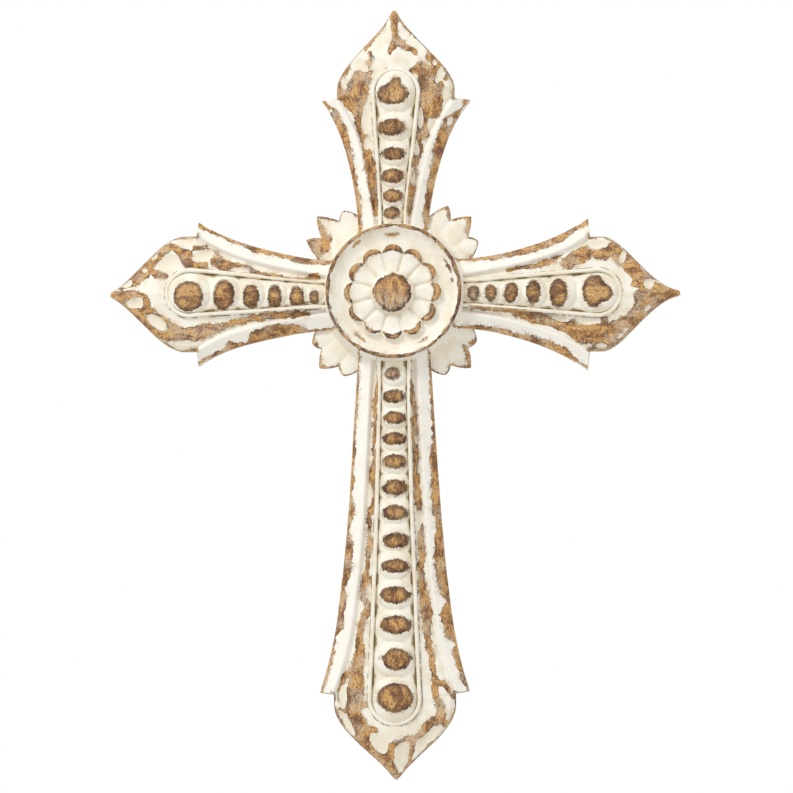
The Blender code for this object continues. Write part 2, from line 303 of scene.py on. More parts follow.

# Painted highlight and shade in the paint, from -1 on chalky raised bands, as painted highlight, to 1 in
# dark hollows, as painted shade
# Painted highlight on the flanges and the petals
FLANGE_PAINTED_HIGHLIGHT = -0.8
PETAL_PAINTED_HIGHLIGHT = -0.4
DISH_TONE = -0.15
# Painted shade in the petals' clefts, and where it starts across the petal
CLEFT_PAINTED_SHADE = 0.2
CLEFT_SHADE_START = 0.8
# Warm painted shade in the gouge scoops
SCOOP_PAINTED_SHADE = 0.5
# Olive painted shade on the boss's lower side, which faces down
BOSS_FLANK_PAINTED_SHADE = 0.62

# How much longer the plank's grain runs on the plain back than on the carved front
BACK_GRAIN = 0.12

# Colours, as screen values of red, green and blue
# The chalk white and the warm cream are random patches in the paint and also painted highlight and painted
# shade; the olive is painted shade only
CREAM = (243, 238, 223)
WARM_CREAM_AND_SHADE = (237, 227, 205)
CHALK_AND_HIGHLIGHT = (246, 242, 232)
OLIVE_PAINTED_SHADE = (150, 128, 84)
GOLDEN_WOOD = (208, 160, 94)
PALE_WOOD = (230, 194, 136)
BROWN_WOOD = (144, 96, 52)
DARK_WOOD = (96, 62, 36)
# The burnt edge colour darkens the wood along the paint's edge and also paints shade along the fillet's
# foot
BURNT_EDGE_AND_CREASE_SHADE = (78, 49, 28)
HAZE = (206, 191, 168)

# Sockets of a colour mix node, whose names it also gives to others
MIX_SHARE = 0
MIX_FIRST = 6
MIX_SECOND = 7
MIX_RESULT = 2

# Studio, in metres and degrees, with the sensor in millimetres. The camera's place was found by
# laying the solid's outline over the photo's
CAMERA_AZIMUTH = 3.0
CAMERA_ELEVATION = -6.5
CAMERA_ROLL = -0.087
CAMERA_DISTANCE = 5.0
CAMERA_AIM = Vector((0.0015, -0.012, -0.0831))
FRAME_WIDTH = 0.62536
SENSOR_WIDTH = 36
VIEW_DEPTH = 100
FLOOR_HEIGHT = -2.5
FLOOR_SIZE = 30
FLOOR_COLOUR = (0.86, 0.86, 0.86, 1)
FLOOR_ROUGHNESS = 0.9
WORLD_LIGHT = 0.87
KEY_PLACE = Vector((-1.5, -1.8, 2.0))
KEY_SIZE = 0.8
KEY_POWER = 36


def ramp(value, start, end):
    """0 up to the start and 1 from the end on, with an even rise between them."""
    return np.clip((value - start) / (end - start), 0, 1)


@dataclass(frozen=True)
class Flare:
    """A half width that spreads outwards from the hub and kicks out near the flange's end."""

    root: float
    spread: float
    power: float
    kick: float
    kick_power: float

    def half_width(self, progress):
        return self.root + self.spread * progress**self.power + self.kick * progress**self.kick_power


@dataclass(frozen=True)
class Pattern:
    """The shape of an arm, and how its middle line strays at hub, notch and tip."""

    strays: tuple
    reach: float
    notch: float
    blade_half_width: float
    point_length: float
    point_power: float
    outer: Flare
    groove: Flare
    beads: int
    first_bead: float
    last_bead: float
    narrow_bead: float
    wide_bead: float
    bead_power: float

    def progress(self, along):
        return ramp(along, FLARE_START, self.notch)

    def outer_half(self, along):
        return self.outer.half_width(self.progress(along))

    def groove_half(self, along):
        return self.groove.half_width(self.progress(along))

    def stray(self, along):
        """How far the arm's middle line is off straight here."""
        return np.interp(along, (0, self.notch, self.reach), self.strays)

    def lean(self, across, along):
        """How far a flange's outer edge falls back towards its end, none of it at the groove."""
        share = ramp(np.abs(across), self.groove_half(along), self.outer_half(along))
        return FLANGE_LEAN * share * self.progress(along) ** FLANGE_LEAN_POWER

    def blade(self, along):
        """Half width of the spear point, an ogee that swells from a rounded tip to its shoulders."""
        from_tip = self.reach - along
        progress = ramp(from_tip, 0, self.point_length)
        swell = np.sin(math.pi / 2 * progress**self.point_power)
        half_width = TIP_HALF_WIDTH + (self.blade_half_width - TIP_HALF_WIDTH) * swell
        arc = np.sqrt(1 - (1 - ramp(from_tip, 0, TIP_ROUNDING)) ** 2)
        return half_width * np.maximum(TIP_END_SHARE, arc)

    def crown(self, along):
        """Height of the field's middle, which falls away towards the tip."""
        progress = ramp(self.reach - along, 0, TIP_SLOPE_LENGTH)
        return TIP_HEIGHT + (FIELD_CROWN_HEIGHT - TIP_HEIGHT) * np.sin(math.pi / 2 * progress)

    def bead_half_width(self, along):
        progress = ramp(along, self.first_bead, self.last_bead)
        return self.narrow_bead + (self.wide_bead - self.narrow_bead) * progress**self.bead_power

    def bead_places(self):
        """Place, half length and half width of each bead. The last is round, and each touches the next."""
        place = self.last_bead
        half_length = self.wide_bead
        half_width = self.wide_bead
        for _ in range(self.beads):
            yield place, half_length, half_width
            edge = place - half_length
            place = edge - half_length
            for _ in range(SETTLING_ROUNDS):
                half_width = float(self.bead_half_width(place))
                half_length = BEAD_LENGTH_RATIO * half_width
                place = edge - half_length


TOP_ARM = Pattern(
    strays=(-2.4, 1.2, 0.1),
    reach=ARM_REACH,
    notch=154.8,
    blade_half_width=46.7,
    point_length=64,
    point_power=1.4,
    outer=Flare(27.6, 24.4, 1.6, 7.3, 6),
    groove=Flare(10.8, 17.5, 1, 15.5, 4),
    beads=6,
    first_bead=63,
    last_bead=159,
    narrow_bead=7.9,
    wide_bead=16,
    bead_power=1,
)

RIGHT_ARM = replace(
    TOP_ARM,
    strays=(1, 1.3, 0.7),
    notch=154.3,
    blade_half_width=45.5,
    point_length=62,
    point_power=1.7,
    outer=Flare(27.6, 31, 1.9, 2, 6),
    last_bead=160.3,
)

LEFT_ARM = replace(
    TOP_ARM,
    strays=(-3, 0, -0.5),
    notch=157,
    blade_half_width=46,
    point_length=59,
    point_power=1.35,
    outer=Flare(27.6, 24.4, 1.6, 5.5, 6),
    last_bead=162,
)

SHAFT = Pattern(
    strays=(0, 1.3, 0.6),
    reach=SHAFT_REACH,
    notch=317.3,
    blade_half_width=48,
    point_length=58,
    point_power=1.25,
    outer=Flare(28.2, 18, 1, 13, 6),
    groove=Flare(14.7, 13.5, 1, 17.5, 6),
    beads=13,
    first_bead=63,
    last_bead=322.4,
    narrow_bead=9.5,
    wide_bead=17.6,
    bead_power=1.5,
)


@dataclass(frozen=True)
class Limb:
    """One arm in its place, and where its paint is worn through.

    A worn stroke is a chain of (across, along, half width). A kept island is a gouge scoop that
    still holds its paint: (across, along, half width, half length, lean in degrees). A worn edge
    is the width of bare wood along the flange's outer edge: (along, width). A bead's worn top is
    an ellipse: (across, along, half width, half length, share of it that is only hazy).
    """

    turn: float
    pattern: Pattern
    strokes: tuple
    islands: tuple
    left_edge: tuple
    right_edge: tuple
    bead_tops: tuple


TOP = Limb(
    turn=0,
    pattern=TOP_ARM,
    strokes=(
        ((0, 226, 4.5), (0.5, 216, 2.8), (1.5, 204, 2.2), (0.5, 199, 3), (-3, 191, 1.6)),
        ((1, 201, 2.4), (8, 197, 2.6), (17, 191, 1.5)),
        ((-12, 208, 1), (-17, 201, 1.9), (-23, 194, 1.2)),
        ((-19, 191, 1.3), (-18, 185, 1.7), (-23, 178, 3.4), (-26, 172, 6)),
        ((-26, 172, 6), (-29, 162, 9), (-30, 154, 8)),
        ((-19, 176, 1.5), (-19, 170, 1.3)),
        ((-36, 181, 2), (-41, 174, 3.4), (-43, 164, 4.5), (-40, 155, 5), (-33, 150, 5)),
        ((-38, 155, 4.5), (-29, 148, 4.4), (-28, 140, 3.4), (-27, 131, 3), (-24, 123, 3)),
        ((-24, 123, 3), (-22, 112, 3), (-19, 101, 4.5), (-17, 86, 3.4), (-15, 70, 2.6), (-14, 62, 1.8)),
        ((15, 176, 2.5), (22, 178, 6), (28, 172, 9), (30, 160, 10.5), (29, 150, 9.5), (30, 144, 6)),
        ((30, 187, 4.5), (36, 180, 2.5), (41, 170, 2)),
        ((24, 146, 4), (23, 134, 3.5), (22, 126, 5.5), (18, 122, 3.5), (21, 113, 2.2), (16, 105, 3.6)),
        ((14, 98, 3), (15, 100, 3), (14, 84, 3.2), (12.5, 79, 3), (12, 70, 2.8), (11, 63, 2)),
        ((19.5, 168, 1.2), (20, 152, 1.4), (18, 138, 1.3), (15.5, 122, 1.4), (13.5, 104, 1.2)),
    ),
    islands=(
        (-27, 182, 4.2, 9, -48),
        (-21.5, 137, 4.6, 11, 4),
        (-21, 119, 3.4, 6, 8),
        (-39.5, 167, 2.5, 5.5, -8),
        (-49, 143, 1.7, 5.5, -22),
        (44.5, 136, 2.4, 4, 20),
        (37.5, 175, 3.6, 9.5, 28),
        (42.5, 156, 4.4, 9, -12),
        (32, 183, 1.8, 2.4, 0),
        (20.5, 139, 2.8, 10, -4),
        (31, 132, 4.6, 6, -20),
        (17, 115, 3.2, 7, -8),
        (14.5, 92, 2.4, 7, -6),
    ),
    left_edge=(
        (50, 2), (58, 3), (75, 4), (100, 3.6), (112, 5.5), (122, 6.5),
        (132, 6.5), (140, 7), (147, 6), (151, 2.5),
    ),
    right_edge=(
        (50, 3), (58, 4), (80, 5.5), (100, 6), (115, 8), (126, 9.5),
        (139, 9.5), (144, 3), (149, 1), (154, 5),
    ),
    bead_tops=(
        (-1, 157, 12.5, 8.6, 0.1),
        (2, 164, 4.6, 6, 0.1),
        (-2, 130, 11.2, 6.5, 0),
        (-0.5, 109, 9.9, 4.9, 0),
        (-1, 91.5, 9.2, 5.6, 0),
        (-0.5, 75.7, 7.9, 5.3, 0),
        (-1.6, 61.9, 6.7, 4.8, 0.1),
    ),
)

RIGHT = Limb(
    turn=90.4,
    pattern=RIGHT_ARM,
    strokes=(
        ((1, 226, 3), (2, 214, 8), (3, 205, 11), (5, 199, 9)),
        ((-6, 199, 5), (-14, 192, 5), (-21, 186, 6), (-28, 178, 6), (-33, 172, 6)),
        ((-33, 172, 5), (-30, 164, 5), (-33, 155, 5), (-27, 145, 6), (-23, 136, 5)),
        ((-31, 132, 1.4), (-25, 126, 2.2), (-21, 115, 1.9), (-19, 104, 1.3), (-17, 90, 1.2)),
        ((-5, 195, 3), (-5, 189, 2.4)),
        ((8, 203, 7), (15, 194, 5.5), (23, 187, 6), (28, 177, 5.5), (33, 169, 7), (34, 158, 8)),
        ((34, 158, 8), (33, 149, 8), (29, 141, 7), (26, 134, 5), (24, 126, 4), (22, 117, 4)),
        ((22, 117, 4), (20, 109, 4), (18, 101, 3), (16, 95, 2.5)),
        ((16, 95, 2.5), (15, 87, 1.4), (13, 74, 1.4), (12, 60, 1.3)),
        ((22, 166, 2.6), (28, 167, 3.4)),
        ((40, 181, 3), (43, 173, 4.5), (40, 160, 5)),
    ),
    islands=(
        (-6, 201, 4.2, 4.5, -20),
        (14, 200, 4, 2.6, 20),
        (-27, 180, 5.5, 2.8, 15),
        (-38, 161, 4.4, 9, -8),
        (23.5, 153, 3.2, 9.5, 0),
        (34, 186, 3.6, 7, 40),
        (44, 164, 3, 5, 0),
        (22, 132, 2.2, 7, 8),
    ),
    left_edge=(
        (50, 1.2), (58, 1.6), (72, 3), (84, 3.6), (95, 4.5), (105, 5.5),
        (132, 7), (139, 4), (146, 2.4), (153, 5),
    ),
    right_edge=(
        (50, 1.8), (58, 2.2), (72, 3), (90, 3), (100, 3.6), (112, 5),
        (134, 6.5), (141, 4), (146, 0.8), (153, 3),
    ),
    bead_tops=(
        (0.5, 158, 12.8, 9, 0.1),
        (2, 164.5, 7.4, 8, 0.1),
        (2.3, 130, 11.7, 6.9, 0),
        (1.3, 109.8, 9.9, 5.7, 0),
        (1.8, 92, 8.2, 5.3, 0),
        (1.8, 76.4, 7.3, 4.4, 0.1),
        (2, 62.7, 6, 4.6, 0.6),
    ),
)

LEFT = Limb(
    turn=-90,
    pattern=LEFT_ARM,
    strokes=(
        ((-1, 226, 3), (-2, 217, 5.5), (-1, 208, 2.8), (-1, 199, 1.6)),
        ((-10, 211, 4), (-20, 200, 5.2), (-27, 193, 4), (-32, 186, 3.4), (-32, 177, 6), (-33, 168, 5.4)),
        ((-33, 168, 5.4), (-33, 158, 6), (-30, 149, 5.5), (-28, 140, 3), (-25, 131, 2.4), (-22, 120, 2)),
        ((-22, 120, 2), (-20, 110, 2.5), (-18, 100, 2.6), (-18, 90, 2.6), (-17.5, 80, 2.8), (-17, 68, 1.5)),
        ((-3, 197, 2.4), (-8, 196, 2.8), (-13, 197, 3), (-15, 192, 3), (-21, 182, 1.5), (-27, 175, 3)),
        ((6, 218, 3), (11, 207, 5.5), (17, 199, 5.5), (24, 193, 4), (32, 185, 3.4), (38, 178, 2.6)),
        ((37, 176, 2.4), (34, 171, 3), (29, 165, 5.5), (24, 164, 4), (21.5, 157, 2.6), (22, 150, 2.6)),
        ((36, 158, 2), (36, 150, 1.5), (31, 141, 2), (25, 141, 5), (21, 134, 4)),
        ((21, 134, 4), (22, 127, 2.4), (20, 116, 2.2), (16.5, 112, 2), (15, 104, 1.3)),
        ((15, 104, 1.3), (12, 92, 2.1), (10, 84, 1.5), (10, 72, 1.5), (12, 62, 3)),
        ((14, 182, 2.4), (16, 190, 3)),
        ((16, 136, 2), (16, 131, 1.6)),
    ),
    islands=(
        (-8, 206, 4, 6, 0),
        (-23, 188, 4.6, 9.5, 38),
        (-42, 168, 5, 11, -6),
        (8.5, 212, 3.4, 5, -20),
        (24, 179, 6, 10, -28),
        (18.5, 198, 2.4, 2.6, 0),
        (29, 190, 1.6, 4, -45),
        (42, 165, 4.6, 10, 4),
        (30, 151, 4.4, 9.5, -10),
        (17.5, 122, 3.2, 8, -4),
    ),
    left_edge=(
        (50, 0.8), (68, 1), (76, 7), (95, 9.5), (105, 9), (113, 8.5),
        (117, 1.5), (123, 2), (130, 6), (135, 1.6), (154, 2),
    ),
    right_edge=(
        (50, 3), (65, 4.5), (75, 5.5), (86, 3.2), (96, 3), (105, 4.4),
        (115, 4.4), (121, 1.5), (128, 3), (135, 1.5), (156, 3.5),
    ),
    bead_tops=(
        (-3, 162.5, 12, 11.6, 0.1),
        (-2.3, 134.8, 11.8, 8.4, 0),
        (-3.7, 113, 9.5, 6.3, 0),
        (-3.8, 94.3, 9.3, 5.4, 0),
        (-4, 77, 8.4, 5.6, 0),
        (-4.7, 63.3, 5.2, 3.9, 0.3),
    ),
)

BOTTOM = Limb(
    turn=179.8,
    pattern=SHAFT,
    strokes=(
        ((0, 386, 4), (3, 379, 3.5), (7, 372, 5), (12, 366, 5), (21, 360, 3.6), (29, 352, 4)),
        ((25, 351, 4.5), (28, 343, 6), (33, 335, 5.5), (34, 326, 7), (32, 314, 7), (31, 303, 5)),
        ((31, 303, 5), (30, 292, 4.5), (28, 283, 3.8), (29, 275, 2.6)),
        ((29, 275, 2.6), (28, 265, 2.3), (24, 256, 3), (20, 250, 3)),
        ((5, 368, 3), (4, 360, 2.4), (-2, 356, 1.5), (-9, 353, 2), (-13, 355, 2)),
        ((-13, 355, 2), (-12, 362, 2), (-10, 371, 1.2), (-5, 378, 1.2)),
        ((-13, 354, 2), (-19, 350, 2.4), (-24, 344, 3), (-28, 339, 3), (-37, 341, 3.2)),
        ((-35, 340, 3.4), (-35, 329, 3), (-31, 320, 2.4), (-29.5, 310, 1.5), (-29, 297, 1.8)),
        ((-29, 297, 1.8), (-27, 285, 2.5), (-25, 275, 2.6), (-24, 262, 3.5), (-24, 250, 4.5)),
        ((-24, 250, 4.5), (-22, 242, 3.6), (-21, 232, 2.6), (-19.5, 222, 1.8), (-21, 205, 3)),
        ((-21, 205, 3), (-20.5, 194, 2.4), (-22, 184, 1.5), (-19, 171, 2.8)),
        ((-19, 171, 2.8), (-18, 158, 3), (-18, 148, 4), (-18, 133, 3.2), (-16.5, 123, 3), (-16, 109, 2.6)),
        ((-16, 109, 2.6), (-15, 102, 2.6), (-17, 95, 1.3), (-14.5, 86, 1.3), (-13, 72, 1.2)),
        ((-44, 321, 1.2), (-38, 311, 2), (-31, 307, 2)),
        ((17, 347, 3), (22, 345, 2)),
        ((45, 331, 2.5), (38, 329, 3), (27, 327, 3), (23, 325, 2)),
        ((45, 323, 1.2), (45, 313, 1.2), (37, 300, 2.6)),
        ((20, 250, 3), (25.5, 242, 1.6), (24, 230, 3), (22, 216, 1.4), (22, 204, 2.4), (19, 202, 4)),
        ((17, 246, 1.3), (17, 230, 1.8), (21, 228, 3)),
        ((19, 202, 3), (21, 190, 1.3), (21.5, 178, 1.8), (17, 170, 2), (15.5, 160, 1.6), (18, 150, 2)),
        ((18, 150, 2), (17, 137, 2.5), (14, 133, 2.5), (17, 125, 1.3), (16, 113, 1.3), (14.5, 103, 2)),
        ((14.5, 103, 2), (15.5, 92, 1.3), (14, 82, 2.4), (12.5, 73, 2)),
    ),
    islands=(
        (-4, 368, 5.4, 11, 8),
        (14, 357, 5.2, 10, -38),
        (-26, 353, 4.8, 14, 42),
        (41, 339, 4, 10, -32),
        (42, 320, 3.4, 9.5, 0),
        (20.5, 238, 2.6, 7.5, 0),
        (-19.5, 180, 2.3, 6.5, 0),
        (-19, 141, 1.6, 4, 0),
        (-17, 118, 1.6, 4.5, 0),
    ),
    left_edge=(
        (50, 0.8), (60, 1), (78, 1.7), (112, 2.2), (120, 3), (132, 5.5), (160, 7), (172, 7),
        (182, 5.2), (191, 5), (200, 7), (215, 9), (240, 8), (244, 2), (250, 6), (256, 9),
        (274, 7), (279, 1.2), (286, 4.5), (306, 3.5), (312, 1.4),
    ),
    right_edge=(
        (50, 1), (60, 1), (78, 2), (90, 1.2), (100, 2), (112, 1.3), (125, 2.6), (140, 1.5),
        (150, 3), (160, 1.4), (172, 5), (185, 1.5), (197, 5), (215, 7), (226, 6), (235, 3),
        (243, 5), (258, 5), (266, 5), (272, 1.4), (285, 2.4), (316, 2),
    ),
    bead_tops=(
        (0.5, 321.5, 14, 11.8, 0),
        (-1, 291.5, 10.8, 8.6, 0),
        (0, 290, 12.4, 3.6, 0),
        (-0.5, 264.3, 12.2, 7.2, 0),
        (0, 240.5, 11.4, 6.8, 0),
        (0, 218, 11.2, 5.4, 0),
        (-1, 197.3, 10.3, 5.8, 0),
        (-0.5, 175.6, 10.2, 5.7, 0.1),
        (-0.5, 156, 10, 6, 0),
        (-0.5, 135.6, 9.6, 5.7, 0),
        (0, 117.5, 9.4, 4.9, 0),
        (-0.4, 100.8, 8.9, 4.8, 0),
        (-0.2, 83.8, 8.8, 5.3, 0.1),
        (1.5, 66, 6, 4.8, 0.7),
    ),
)

LIMBS = (TOP, RIGHT, LEFT, BOTTOM)

# Worn places on the leaves and scratches in the dish, as chains of (x, z, half width)
WORN_LEAVES = (
    ((-63, 60, 1.6), (-58, 49, 3.6), (-54.5, 43, 4), (-56, 36, 4.5)),
    ((-65, 40, 2.4), (-58, 38, 4), (-60, 33, 3)),
    ((44, 58.5, 1.6), (52, 60, 1.8), (60, 61, 1.6), (57.5, 49, 1.3)),
    ((41, 69, 1.6), (43, 62, 1.4)),
    ((55, -44, 1.4), (58, -52, 2), (60, -60, 1.8)),
    ((64, -39, 1.8), (60, -41, 1.4)),
    ((-64, -42, 1.4), (-62, -40, 1.2)),
    ((-58, -58, 1.5), (-55, -59, 1.3)),
)

# Scratched arcs in the dish: middle of the arc clockwise from the top, half span, radius, half width
DISH_SCRATCHES = (
    (-2, 9, 45.5, 1.3),
    (66, 9, 47.5, 1.2),
    (80, 3, 47, 1.2),
    (146, 7, 45.5, 1.2),
    (217, 9, 45.5, 1.2),
    (-38, 5, 48, 1.2),
)


def points_of(*columns):
    """Points from their three coordinates, each of them an array or one value for all."""
    return np.stack(np.broadcast_arrays(*columns), axis=-1)


def turned(across, height, along, turn):
    """World x, y and z, in millimetres, of points of an upright arm once it is turned about Y."""
    angle = math.radians(turn)
    x = across * math.cos(angle) + along * math.sin(angle)
    z = along * math.cos(angle) - across * math.sin(angle)
    return points_of(x, -height, z)


def new_collection(name):
    collection = bpy.data.collections.new(name)
    bpy.context.scene.collection.children.link(collection)
    return collection


def add_object(name, data):
    obj = bpy.data.objects.new(name, data)
    bpy.context.scene.collection.objects.link(obj)
    return obj


def loft(name, rings, collection):
    """A closed solid through rings of equally many points, an array of rings, points and x, y, z."""
    count, size = rings.shape[:2]
    index = np.arange(count * size).reshape(count, size)
    lower, upper = index[:-1], index[1:]
    quads = np.stack([np.roll(lower, 1, 1), lower, upper, np.roll(upper, 1, 1)], axis=-1)
    faces = quads.reshape(-1, 4).tolist() + [index[0].tolist(), index[-1][::-1].tolist()]
    mesh = bpy.data.meshes.new(name)
    mesh.from_pydata((rings.reshape(-1, 3) * METRES).tolist(), [], faces)
    shape = bmesh.new()
    shape.from_mesh(mesh)
    bmesh.ops.recalc_face_normals(shape, faces=shape.faces)
    shape.to_mesh(mesh)
    shape.free()
    obj = bpy.data.objects.new(name, mesh)
    obj.hide_render = True
    collection.objects.link(obj)
    return obj


def spread(keys, counts):
    """Evenly spaced values through the keys, with so many steps from each key to the next."""
    runs = [np.linspace(a, b, n, endpoint=False) for a, b, n in zip(keys, keys[1:], counts)]
    return np.concatenate(runs + [[keys[-1]]])


def around(count):
    """So many angles round a full turn."""
    return np.linspace(0, 2 * math.pi, count, endpoint=False)


def eased(value):
    value = np.clip(value, 0, 1)
    return value * value * (3 - 2 * value)


def rounded(row, times=2):
    """A row of heights whose corners are worn round. Its ends stay."""
    row = np.array(row, float)
    for _ in range(times):
        row[..., 1:-1] = (row[..., :-2] + 2 * row[..., 1:-1] + row[..., 2:]) / 4
    return row


def flanged_half(pattern, along):
    outer = pattern.outer_half(along)
    groove = pattern.groove_half(along)
    ridge = groove + RIDGE_PLACE * (outer - groove)
    places = spread((0, groove - GROOVE_LIP, groove, ridge, outer), FLANGED_COUNTS)
    levels = (pattern.crown(along), FIELD_EDGE_HEIGHT, GROOVE_HEIGHT, RIDGE_HEIGHT, EDGE_HEIGHT)
    return places, spread(levels, FLANGED_COUNTS)


def bladed_half(pattern, along):
    """Half of the spear point's cross-section. It starts on the flanged field and then spreads out."""
    relaxed = eased((along - pattern.notch) / RELAX_LENGTH)
    first_lip = (pattern.groove_half(pattern.notch) - GROOVE_LIP) / pattern.blade(pattern.notch)
    lip = first_lip + (BLADE_LIP - first_lip) * relaxed
    crowded = spread((0, first_lip, 1), (FLANGED_COUNTS[0], sum(FLANGED_COUNTS[1:])))
    even = spread((0, BLADE_LIP, 1), BLADED_COUNTS)
    places = crowded + (even - crowded) * relaxed
    crown = pattern.crown(along)
    share = (FIELD_EDGE_HEIGHT - EDGE_HEIGHT) / (FIELD_CROWN_HEIGHT - EDGE_HEIGHT)
    lip_height = EDGE_HEIGHT + share * (crown - EDGE_HEIGHT)
    heights = np.interp(places, (0, lip, 1), (crown, lip_height, EDGE_HEIGHT))
    return places * pattern.blade(along), heights


def cross_section(pattern, along, places, heights):
    """A whole ring of across, height and along: over the front from left to right, and down to the back."""
    across = np.concatenate([-places[:0:-1], places])
    height = rounded(np.concatenate([heights[:0:-1], heights]))
    down = np.linspace(0, 1, WALL_COUNT + 1)[1:]
    wall = places[-1] - BACK_INSET * down
    wall_height = EDGE_HEIGHT * (1 - down)
    across = np.concatenate([across, wall, -wall[::-1]])
    height = np.concatenate([height, wall_height, wall_height[::-1]])
    lean = pattern.lean(across, along) if along <= pattern.notch else 0
    return points_of(pattern.stray(along) + across, height, along - lean)


def arm_rings(pattern):
    flanged = np.linspace(ARM_START, pattern.notch, round((pattern.notch - ARM_START) / STATION_SPACING))
    start = pattern.notch + NOTCH_STEP
    arc_start = pattern.reach - TIP_ROUNDING
    bladed = np.linspace(start, arc_start, round((arc_start - start) / STATION_SPACING))
    arc = arc_start + TIP_ROUNDING * np.sin(np.linspace(0, math.pi / 2, TIP_ARC_STATIONS + 1)[1:])
    rings = [cross_section(pattern, along, *flanged_half(pattern, along)) for along in flanged]
    for along in np.concatenate([bladed, arc]):
        rings.append(cross_section(pattern, along, *bladed_half(pattern, along)))
    return np.array(rings)


def hairpin(pattern, start, offset):
    """Across and along of the outline round the row of beads: two flaring sides and an arc."""
    steps = round((pattern.last_bead - start) / HAIRPIN_SPACING)
    along = np.linspace(start, pattern.last_bead, steps, endpoint=False)
    across = pattern.bead_half_width(along) + offset
    angle = np.linspace(0, math.pi, HAIRPIN_ARC_POINTS + 1)
    radius = pattern.wide_bead + offset
    arc_along = pattern.last_bead + radius * np.sin(angle)
    return (
        np.concatenate([across, radius * np.cos(angle), -across[::-1]]),
        np.concatenate([along, arc_along, along[::-1]]),
    )


def hairpin_rings(pattern, start, profile):
    rings = []
    for offset, height in profile:
        across, along = hairpin(pattern, start, offset)
        rings.append(points_of(across + pattern.stray(along), height, along))
    return np.array(rings)


def turn_rings(rings, turn):
    return turned(rings[..., 0], rings[..., 1], rings[..., 2], turn)


def dome(levels, roundness, foot_height, wall_height, top):
    """An upright wall and the dome over it: the share of the full radius, and the height, of each ring."""
    lift = np.linspace(0, math.pi / 2, levels, endpoint=False)
    shares = np.concatenate([[1], np.cos(lift) ** roundness])
    heights = np.concatenate([[foot_height], wall_height + (top - wall_height) * np.sin(lift)])
    return shares, heights


def bead_rings(pattern, place, half_length, half_width):
    """A domed bead, flatter on top than a ball."""
    top = TROUGH_HEIGHT + BEAD_RISE + BEAD_RISE_BY_WIDTH * half_width
    shares, heights = dome(BEAD_LEVELS, BEAD_ROUNDNESS, BEAD_FOOT_HEIGHT, BEAD_WALL_HEIGHT, top)
    angle = around(BEAD_POINTS)
    across = pattern.stray(place) + np.outer(shares, half_width * np.cos(angle))
    along = place + np.outer(shares, BEAD_OVERLAP * half_length * np.sin(angle))
    return points_of(across, heights[:, None], along)


def saddle_rings(pattern):
    """A low rounded bar down the trough, so that neighbouring beads meet in a saddle."""
    steps = round((pattern.last_bead - TROUGH_START) / SADDLE_SPACING)
    along = np.linspace(TROUGH_START, pattern.last_bead, steps)
    angle = around(SADDLE_POINTS)
    half_width = pattern.bead_half_width(along) + SADDLE_OVERLAP
    sideways = np.sign(np.cos(angle)) * np.abs(np.cos(angle)) ** SADDLE_SQUARENESS
    upwards = np.sign(np.sin(angle)) * np.abs(np.sin(angle)) ** SADDLE_SQUARENESS
    across = pattern.stray(along)[:, None] + np.outer(half_width, sideways)
    return points_of(across, TROUGH_HEIGHT - 1 + SADDLE_RISE * upwards, along[:, None])


def finer_profile(profile):
    """A profile of radius and height with points close together and its corners worn round."""
    radii, heights = (np.array(column, float) for column in zip(*profile))
    run = np.concatenate([[0], np.cumsum(np.hypot(np.diff(radii), np.diff(heights)))])
    places = np.linspace(0, run[-1], round(run[-1] / PROFILE_SPACING))
    return rounded(np.interp(places, run, radii), 1), rounded(np.interp(places, run, heights), 1)


def turned_rings(radii, heights, points):
    angle = around(points)
    return points_of(np.outer(radii, np.sin(angle)), -heights[:, None], np.outer(radii, np.cos(angle)))


def moved(rings, place):
    """Rings moved by x and z over the board."""
    x, z = place
    return rings + np.array([x, 0, z])


def boss_rings():
    shares, heights = dome(BOSS_LEVELS, BOSS_ROUNDNESS, DISH_HEIGHT - 1, BOSS_WALL_HEIGHT, BOSS_HEIGHT)
    return turned_rings(BOSS_RADIUS * shares, heights, BOSS_POINTS)


def petal_reach(angle):
    """Radius of the flower's outline: twelve lobes that meet at clefts."""
    return FLOWER_RADIUS * (1 - PETAL_CLEFT * (1 - np.abs(np.cos(PETALS * angle / 2))))


def off_petal_middle(angle):
    return np.abs((angle + HALF_PETAL) % (2 * HALF_PETAL) - HALF_PETAL)


def flower_rings():
    """Spoon-shaped petals with raised rims, parted by narrow clefts."""
    shares, heights = zip(*FLOWER_PROFILE)
    run = np.arange(len(shares))
    places = np.linspace(0, run[-1], 2 * run[-1] + 1)
    shares = np.interp(places, run, shares)[:, None]
    heights = rounded(np.interp(places, run, heights), 1)[:, None]
    angle = around(PETALS * POINTS_PER_PETAL)[None, :]
    radius = petal_reach(angle) * shares
    aside = off_petal_middle(angle)
    from_cleft = (HALF_PETAL - aside) * radius
    cleft = CLEFT_DEPTH * np.exp(-((from_cleft / CLEFT_HALF_WIDTH) ** 2))
    shoulder = PETAL_SHOULDER * (aside / HALF_PETAL) ** 2
    level = np.maximum(heights - cleft - shoulder, DISH_HEIGHT - 3)
    return points_of(radius * np.sin(angle), -level, radius * np.cos(angle))


def leaf_corners(first_reach, long_reach, last_reach):
    """Angle from a diagonal, radius and height of a leaf group's corners, from one arm to the next."""
    sides = [(*LEAF_FOOT, LEAF_NOTCH_HEIGHT), (*LEAF_SIDE, LEAF_NOTCH_HEIGHT)]
    notch = (*LEAF_NOTCH, LEAF_NOTCH_HEIGHT)
    before = [*sides, (SIDE_LEAF_ANGLE, first_reach, LEAF_TIP_HEIGHT), notch]
    after = [notch, (SIDE_LEAF_ANGLE, last_reach, LEAF_TIP_HEIGHT), *reversed(sides)]
    before = [(-angle, radius, height) for angle, radius, height in before]
    return before + [(0, long_reach, LEAF_TIP_HEIGHT)] + after


